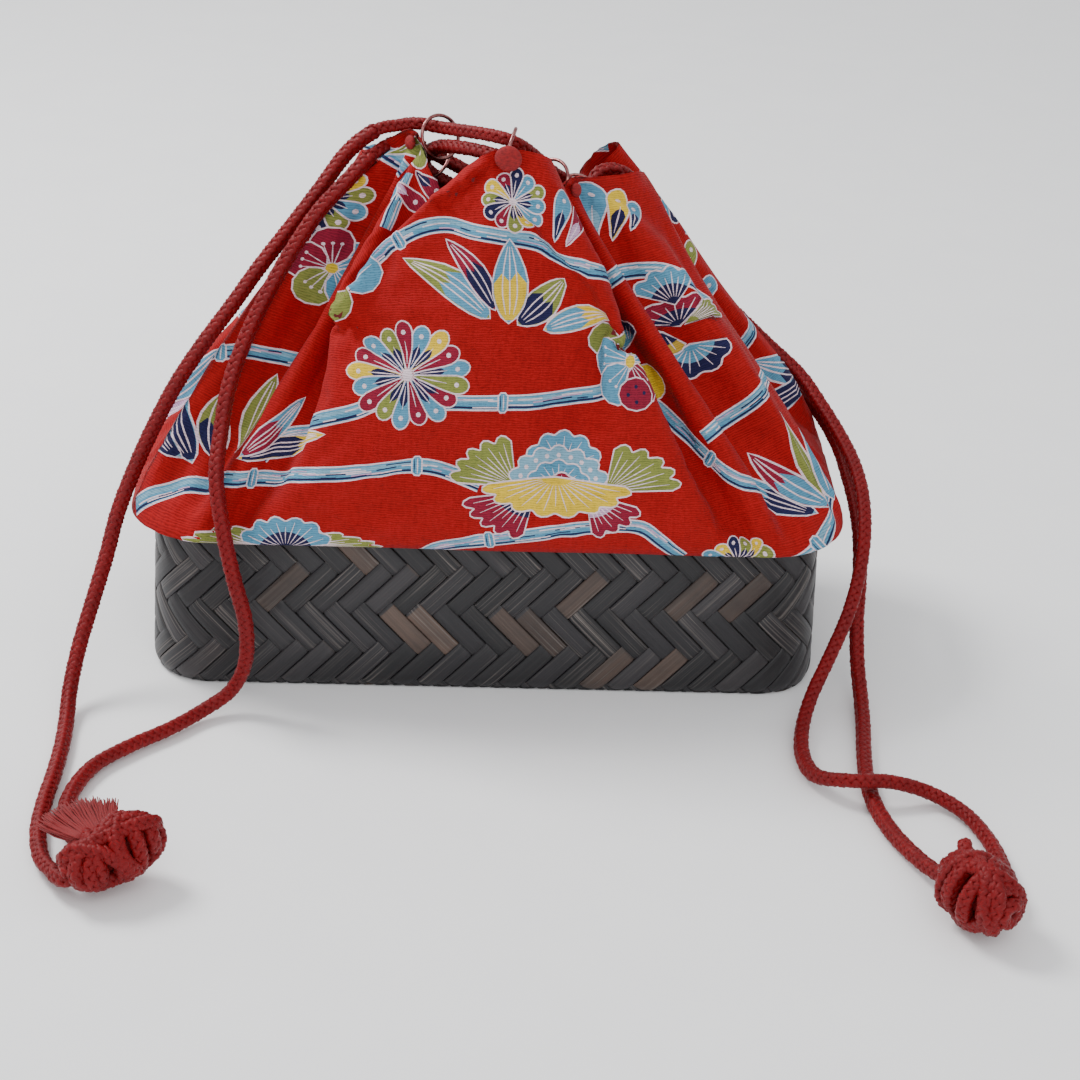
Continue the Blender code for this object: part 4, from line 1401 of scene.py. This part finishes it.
def motifs():
    # bamboo stems
    stem([(-92, 34), (-85.5, 43.5), (-63.2, 50.3), (-50.2, 54), (-40, 58), (-20, 58.5), (-8.8, 58.4), (1.9, 58.4), (14.3, 59),
          (31.9, 61.8), (50, 66), (66, 68), (75.5, 64.1), (81.8, 54.6), (89.7, 41.9), (97.1, 33), (108, 27.5)],
         [(1.9, 58.4), (89.7, 41.9)], 4.2, 1)
    stem([(-126, 8), (-119, 15), (-111.3, 21.8), (-93, 27), (-69, 31.2), (-51, 33.5), (-28.2, 36.4), (-15.9, 34.7), (-5.1, 31)],
         [(-93, 27), (-28.2, 36.4)], 4.2, 2)
    stem([(-24, 3), (-17.9, 7.2), (-0.3, 11.4), (24.4, 15.7), (50.4, 17.6), (60.4, 12.3), (69, 5)], [(-0.3, 11.4)], 4.2, 3)
    stem([(101, -1), (109, 3), (115.9, 6), (127, 14), (137, 24)], [(116, 6)], 4.2, 4)
    stem([(91, 49), (100, 51.5), (117.9, 55.1), (125.2, 58.1), (134, 62)], [(105, 52.6)], 3.8, 5)
    stem([(-134, 56), (-122.1, 60.9), (-116.7, 64.4), (-110.4, 66), (-101, 68)], [(-122, 61)], 3.6, 6)
    stem([(-50, 99), (-42.8, 106.3), (-35, 111.9), (-26.4, 116), (-18, 116.7), (-9.7, 114.2), (2.2, 112.2), (12.7, 110.6),
          (19.9, 107.5), (27.4, 106.7), (34.3, 105.4), (60, 105), (84, 107), (100, 108.5), (109.4, 106.7), (118.7, 99), (126, 90)],
         [(-35, 111.9)], 4.2, 7)
    stem([(-114, 143), (-109, 140), (-101.7, 132.5), (-91.5, 128.9)], [], 3.6, 8)
    stem([(-80, 133), (-74, 127), (-68, 119)], [], 3.6, 9)
    stem([(-123, 103), (-118, 100), (-111, 96)], [], 3.4, 10)
    # chrysanthemums
    chrysanthemum((-32.5, 67.2), 21.5, 17.8, .18)
    chrysanthemum((4.2, 124.6), 11.6, 10.6, .5, 12, [GREEN, BLUE, NAVY, CRIM, YEL, GREEN, NAVY, CRIM, GREEN, YEL, BLUE, BLUE])
    chrysanthemum((-116, 117.5), 14, 13.5, .2, 13, [GREEN, YEL, BLUE, CRIM, NAVY, BLUE, GREEN, BLUE, NAVY, GREEN, NAVY, GREEN, BLUE])
    chrysanthemum((89.5, 2.5), 14.5, 11.5, 0, 14, [NAVY, GREEN, YEL, GREEN, NAVY, YEL, BLUE])
    # bamboo leaves
    leaf((-4.9, 86.3), (-32.5, 105.6), 9.4, GREEN, BLUE, -.06)
    leaf((-3.2, 89.0), (-19.4, 112), 6.8, CRIM, NAVY, -.05, 2)
    leaf((14.7, 82.5), (38.4, 89.2), 7.6, YEL, BLUE, .06)
    leaf((5.7, 84.1), (20.4, 100), 10.0, GREEN, NAVY, -.05)
    leaf((2.3, 84.6), (2.2, 111.6), 12.4, BLUE, YEL, .0)
    leaf((-101, 32), (-60.8, 45.6), 6.6, YEL, NAVY, .05)
    leaf((-100.6, 33.1), (-85.8, 56), 7.2, BLUE, CRIM, -.06)
    leaf((-104, 34), (-107, 61), 7.6, GREEN, GREEN, .05, 2)
    leaf((-112, 31), (-117.5, 49), 7.2, GREEN, NAVY, .05, 2)
    leaf((-116, 27), (-133, 50), 9.0, BLUE, NAVY, .06)
    leaf((-119, 27), (-148, 40), 8.0, LBLUE, NAVY, .06)
    leaf((119, 15), (105, 37), 8.0, BLUE, NAVY, .06)
    leaf((123.4, 15), (112, 41), 6.6, CRIM, BLUE, .05, 2)
    leaf((127, 13.6), (126.6, 48.5), 9.0, GREEN, GREEN, .04, 2)
    leaf((131, 14), (135, 47), 8.0, BLUE, BLUE, -.05)
    leaf((134, 13), (146, 36), 7.0, CRIM, LAV, -.05)
    # plum blossoms
    disc((36.5, 80.6), 6.8, GREEN, 12, 5.4, .5)
    plum((48.5, 72.5), 15.0, [BLUE, GREEN, BLUE, BLUE, CRIM], .35)
    petal((52, 72), (84, 71.5), 12.5, YEL, NAVY, False)
    disc((50.5, 62.2), 6.2, CRIM, 12, 5.2, .5)
    for q in ((47.5, 62), (50.5, 59.6), (53.4, 62.6), (50.4, 64.6)):
        disc(q, .7, NAVY, 6)
    plum((-105.5, 96.5), 12.5, [BLUE, CRIM, CRIM, GREEN, BLUE], .6)
    disc((-48.5, 101.2), 7.0, BLUE, 12, 6.4, .5)
    stroke([(-53, 98), (-44.5, 104)], .5, WHITE)
    disc((-58, 92), 6.0, GREEN, 12, 6.0, .5)
    # peony with pine leaves
    fan((8, 31), 24, 17, 98, 178, GREEN, None, 5)
    fan((40, 30), 27, 16, 2, 84, GREEN, None, 5)
    fan((24.6, 37), 14.5, 12.5, 12, 168, BLUE, NAVY, 5)
    fan((23.0, 31.0), 18.5, 13.5, 6, 174, LBLUE, None, 7, False)
    for k in range(9):
        a = math.radians(18 + 18 * k)
        disc((23 + 14.2 * math.cos(a), 31 + 10.4 * math.sin(a)), .85, WHITE, 6)
    fan((23.2, 31.0), 11.5, 8.8, 4, 176, BLUE, None, 5)
    fan((24.4, 30.0), 6.2, 5.6, 0, 180, CRIM, NAVY, 3)
    fan((15, 29.5), 27, 17, 192, 262, CRIM, NAVY, 5)
    fan((33, 29.5), 22, 16.5, 278, 340, CRIM, LAV, 4)
    fan((22.5, 34.0), 28.5, 13.2, 192, 348, YEL, None, 8)
    # pine at the basket's edge
    fan((-73, 4.5), 35, 7.2, 100, 178, GREEN, None, 5)
    fan((-73, 4.5), 35, 7.2, 2, 80, GREEN, None, 5)
    fan((-73, 3.5), 17.5, 12.6, 14, 166, BLUE, NAVY, 6)
    # fans at the right
    fan((111, 80), 11, 10.5, 195, 345, NAVY, BLUE, 4)
    fan((106, 86.5), 9.5, 7.5, 170, 300, OCHRE, NAVY, 3)
    fan((112, 87), 17, 9.5, -12, 60, GREEN, None, 4)
    fan((110.5, 87), 13, 9.5, 40, 160, CRIM, NAVY, 4)
    fan((111.5, 94), 10.5, 12.5, 35, 145, BLUE, NAVY, 4)
    fan((77, 86), 9, 9, 20, 200, NAVY, BLUE, 4)
    # pieces at the gathered mouth
    petal((-103, 133), (-79, 140), 7.5, GREEN)
    petal((-79, 136), (-67, 141), 6.0, CRIM, NAVY)
    petal((-83, 126), (-66, 134), 5.5, CRIM, LAV)
    petal((-86, 130), (-76, 125), 4.5, BLUE, NAVY)
    petal((19, 114), (22.5, 131), 6.5, BLUE, NAVY)
    petal((23, 113), (31, 127), 6.5, CRIM, LAV)
    petal((98, 119), (103, 139), 8.0, BLUE, LBLUE)
    petal((103, 119), (110.5, 136), 6.5, YEL, NAVY)
    petal((108, 121), (115, 131), 5.0, BLUE, NAVY)
    petal((-136, 90), (-124, 98), 5.5, GREEN)
    petal((-140, 78), (-127, 84), 6.0, BLUE, GREEN)


motifs()
FRONT = list(SHAPES)
SHAPES[:] = []
for poly, col in FRONT:
    SHAPES.append((poly, col))
for sh in (325.0, -325.0):
    for poly, col in FRONT:
        c = poly[:, 0].mean()
        if -150 < c < 150 and -340 < c + sh < 340:
            SHAPES.append((poly + np.array([sh, 0.0]), col))


def cut_cloth():
    """Flat cloth cut into triangles along every dyed edge, then laid on the drape."""
    top = (HT + HEM_TURN) * 1000
    vs, fs = [], []

    def put(p):
        vs.append(Vector((float(p[0]), float(p[1]))))
        return len(vs) - 1

    rng = np.random.default_rng(9)
    step = 2.6
    nu, nv = int(650 / step), int(top / step)
    for j in range(nv + 1):
        for i in range(nu + 1):
            edge = i in (0, nu) or j in (0, nv)
            x, y = -325 + 650 * i / nu, top * j / nv
            if not edge:
                x += (rng.random() - .5) * .3
                y += (rng.random() - .5) * .3
            put((x, y))
    col = []
    border = [put(p) for p in ((-325, 0), (325, 0), (325, top), (-325, top))]
    fs.append(border)
    col.append(RED)
    for poly, c in SHAPES:
        poly = np.asarray(poly)
        if area2(poly) < 0:
            poly = poly[::-1]
        keep = [poly[0]]
        for p in poly[1:]:
            if np.hypot(*(p - keep[-1])) > .12:
                keep.append(p)
        if len(keep) > 2 and np.hypot(*(keep[0] - keep[-1])) < .12:
            keep.pop()
        if len(keep) < 3:
            continue
        fs.append([put(p) for p in keep])
        col.append(c)
    rv, _re, rf, _ov, _oe, of_ = delaunay_2d_cdt(vs, [], fs, 0, 1e-5, True)
    V = np.array([(p.x, p.y) for p in rv])
    tri, dye = [], []
    for f, o in zip(rf, of_):
        if len(f) != 3:
            continue
        x = sum(V[i][0] for i in f) / 3
        y = sum(V[i][1] for i in f) / 3
        if not (-325 <= x <= 325 and 0 <= y <= top):
            continue
        a, b, c = V[f[0]], V[f[1]], V[f[2]]
        if abs((b[0] - a[0]) * (c[1] - a[1]) - (c[0] - a[0]) * (b[1] - a[1])) < 1e-7:
            continue
        tri.append(tuple(f))
        dye.append(col[max(o)] if len(o) else RED)
    return V / 1000.0, tri, dye


def press_by_cords(P, N, margin=.0004):
    """Cloth gives way where a strand rests on it."""
    from mathutils.kdtree import KDTree
    pts = []
    for key in LINES:
        pts += [p for p in resample(LINES[key], .0012) if p.z > .04]
    kd = KDTree(len(pts))
    for i, p in enumerate(pts):
        kd.insert(p, i)
    kd.balance()
    R = CORD_D / 2 + margin
    out = P.copy()
    for i in range(len(P)):
        co, _i, d = kd.find(Vector(P[i]))
        if d < R + .004:
            away = P[i] - np.array(co[:])
            side = float(away @ N[i])
            if side > -R and d < R + .0005:
                # push inwards along the cloth's normal until clear
                t2 = max(0.0, R * R - (d * d - side * side))
                out[i] = P[i] - N[i] * max(0.0, side + math.sqrt(t2))
            elif side > -R:
                pass
    return out


def build_cloth():
    flat, tri, dye = cut_cloth()
    P, N = cloth_points(flat[:, 0], flat[:, 1])
    P = press_by_cords(P, N)
    idx = np.array(tri)
    a, b, c = P[idx[:, 0]], P[idx[:, 1]], P[idx[:, 2]]
    fn = np.cross(b - a, c - a)
    if float(np.sum(fn * N[idx[:, 0]])) < 0:
        idx = idx[:, ::-1]
    uv = flat[idx.ravel()]
    ob = mesh_object("printed_cloth", P, [tuple(t) for t in idx.tolist()], uv=uv, mats=[M_PRINT], uv_name="cut")
    me = ob.data
    bake = me.uv_layers.new(name="OFBake")
    span = np.stack([(uv[:, 0] + .325) / .650 * .998 + .001, uv[:, 1] / .650 + .001], 1)
    bake.data.foreach_set("uv", span.astype(np.float32).ravel())
    at = me.color_attributes.new("dye", "FLOAT_COLOR", "CORNER")
    at.data.foreach_set("color", np.repeat(np.array(dye, dtype=np.float32), 3, axis=0).ravel())
    me.uv_layers.active = me.uv_layers["cut"]
    me.normals_split_custom_set_from_vertices([tuple(n) for n in N])
    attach(ob, "root")
    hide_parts("cloth_bag")
    print("cloth triangles", len(tri), "shapes", len(SHAPES))
    return ob


def build_lining():
    m, n = 28, 264
    us = (np.arange(n) / n) * CIRC
    rows = []
    from mathutils.bvhtree import BVHTree
    faces = [(j * NU + i, j * NU + (i + 1) % NU, (j + 1) * NU + (i + 1) % NU, (j + 1) * NU + i) for j in range(NV) for i in range(NU)]
    bvh = BVHTree.FromPolygons([Vector(p) for p in GRID.reshape(-1, 3)], faces)
    for j in range(m + 1):
        v = .012 + (HT - .008 - .012) * j / m
        P, N = surface(us, np.full(n, v)), surface_normal(us, np.full(n, v))
        L = []
        for p, q in zip(P, N):
            hit = bvh.ray_cast(Vector(p) - Vector(q) * .0003, -Vector(q), .01)
            room = hit[3] if hit[0] is not None else .01
            L.append(p - q * min(.0019, .0011 + .0, room * .38 + .0002) if room < .004 else p - q * .0019)
        rows.append(np.array(L))
    V, F = [], []
    w, d = BASKET_TOP_W, BASKET_TOP_D
    low = []
    for z, ins in ((.0036, .012), (.0036, .0072), (.006, .0064), (.030, .0064), (.066, .0064), (.0694, .0050)):
        low.append([(*[a - b * ins for a, b in zip(*rrect(i / n, w, d, CORNER_R))], z) for i in range(n)])
    loops = low + [r.tolist() for r in rows]
    for lp in loops:
        V += [tuple(p) for p in lp]
    for r in range(len(loops) - 1):
        for i in range(n):
            a, b = r * n + i, r * n + (i + 1) % n
            F.append((a, a + n, b + n, b))
    F.append(tuple(range(n)))
    ob = mesh_object("pouch_lining", V, F, mats=[M_LINING])
    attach(ob, "root")
    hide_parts("lining_bag")
    return ob


def tab_material():
    t = Tree("plain_crepe")
    n = t.noise(t.coords(None, (900, 900, 2200)), 1.0, 3.0)
    t.link(t.ramp(n, [(0.3, lin(104, 5, 9)), (0.7, lin(150, 9, 14))]), t.b.inputs["Base Color"])
    t.link(t.spread(n, 0.9, 0.75), t.b.inputs["Roughness"])
    t.bump(n, 0.5, 0.0003)
    return t.mat


def build_tabs():
    """Small padded loops of plain cloth that hold the rings to the hem."""
    V, F = [], []
    for k, (s, p) in enumerate(PEAKS):
        c, r, u = ring_frame(k)
        t = r.cross(u)
        o = Vector(p) + r * .0006 + Vector((0, 0, .0016))
        n, m = 28, 14
        big = 1.0 if k == 0 else 0.58
        o -= Vector((0, 0, 0.0 if k == 0 else .0022))
        base = len(V)
        for j in range(1, m):
            f = math.pi * j / m
            for i in range(n):
                a = 2 * math.pi * i / n
                q = 1.0 + .05 * math.sin(3 * a + k)
                V.append((o + (t * (.0043 * q * math.sin(f) * math.cos(a)) + u * (.0041 * math.cos(f))
                               + r * (.0024 * math.sin(f) * math.sin(a))) * big)[:])
        for j in range(m - 2):
            for i in range(n):
                a, b = base + j * n + i, base + j * n + (i + 1) % n
                F.append((a, b, b + n, a + n))
        F.append(tuple(base + i for i in range(n))[::-1])
        F.append(tuple(base + (m - 2) * n + i for i in range(n)))
    ob = mesh_object("ring_tabs", V, F, mats=[tab_material()])
    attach(ob, "root")
    return ob


CLOTH = build_cloth()
LINING = build_lining()
TABS = build_tabs()


# ---------------------------------------------------------- floor and lights
def studio():
    bpy.ops.mesh.primitive_plane_add(size=8, location=(0, 0, -0.0002))
    floor = bpy.context.object
    floor.name = "floor"
    t = Tree("paper_floor")
    n = t.noise(t.coords(), 30.0, 3.0)
    t.link(t.ramp(n, [(0.3, (0.93, 0.93, 0.935, 1)), (0.7, (0.95, 0.95, 0.95, 1))]), t.b.inputs["Base Color"])
    t.link(t.spread(n, 0.85, 0.95), t.b.inputs["Roughness"])
    floor.data.materials.append(t.mat)
    wld = bpy.data.worlds.new("studio")
    SC.world = wld
    wld.use_nodes = True
    bg = wld.node_tree.nodes["Background"]
    bg.inputs[0].default_value = (0.97, 0.98, 1.0, 1)
    bg.inputs[1].default_value = 0.94
    for name, loc, size, power in (("key", (-0.62, 0.30, 0.95), 0.40, 12.0), ("front", (0.15, -1.0, 0.9), 0.9, 5.0)):
        ld = bpy.data.lights.new(name, "AREA")
        ld.size = size
        ld.energy = power
        lo = bpy.data.objects.new(name, ld)
        SC.collection.objects.link(lo)
        lo.location = loc
        lo.rotation_euler = (Vector((0, 0, .06)) - Vector(loc)).to_track_quat("-Z", "Y").to_euler()


studio()
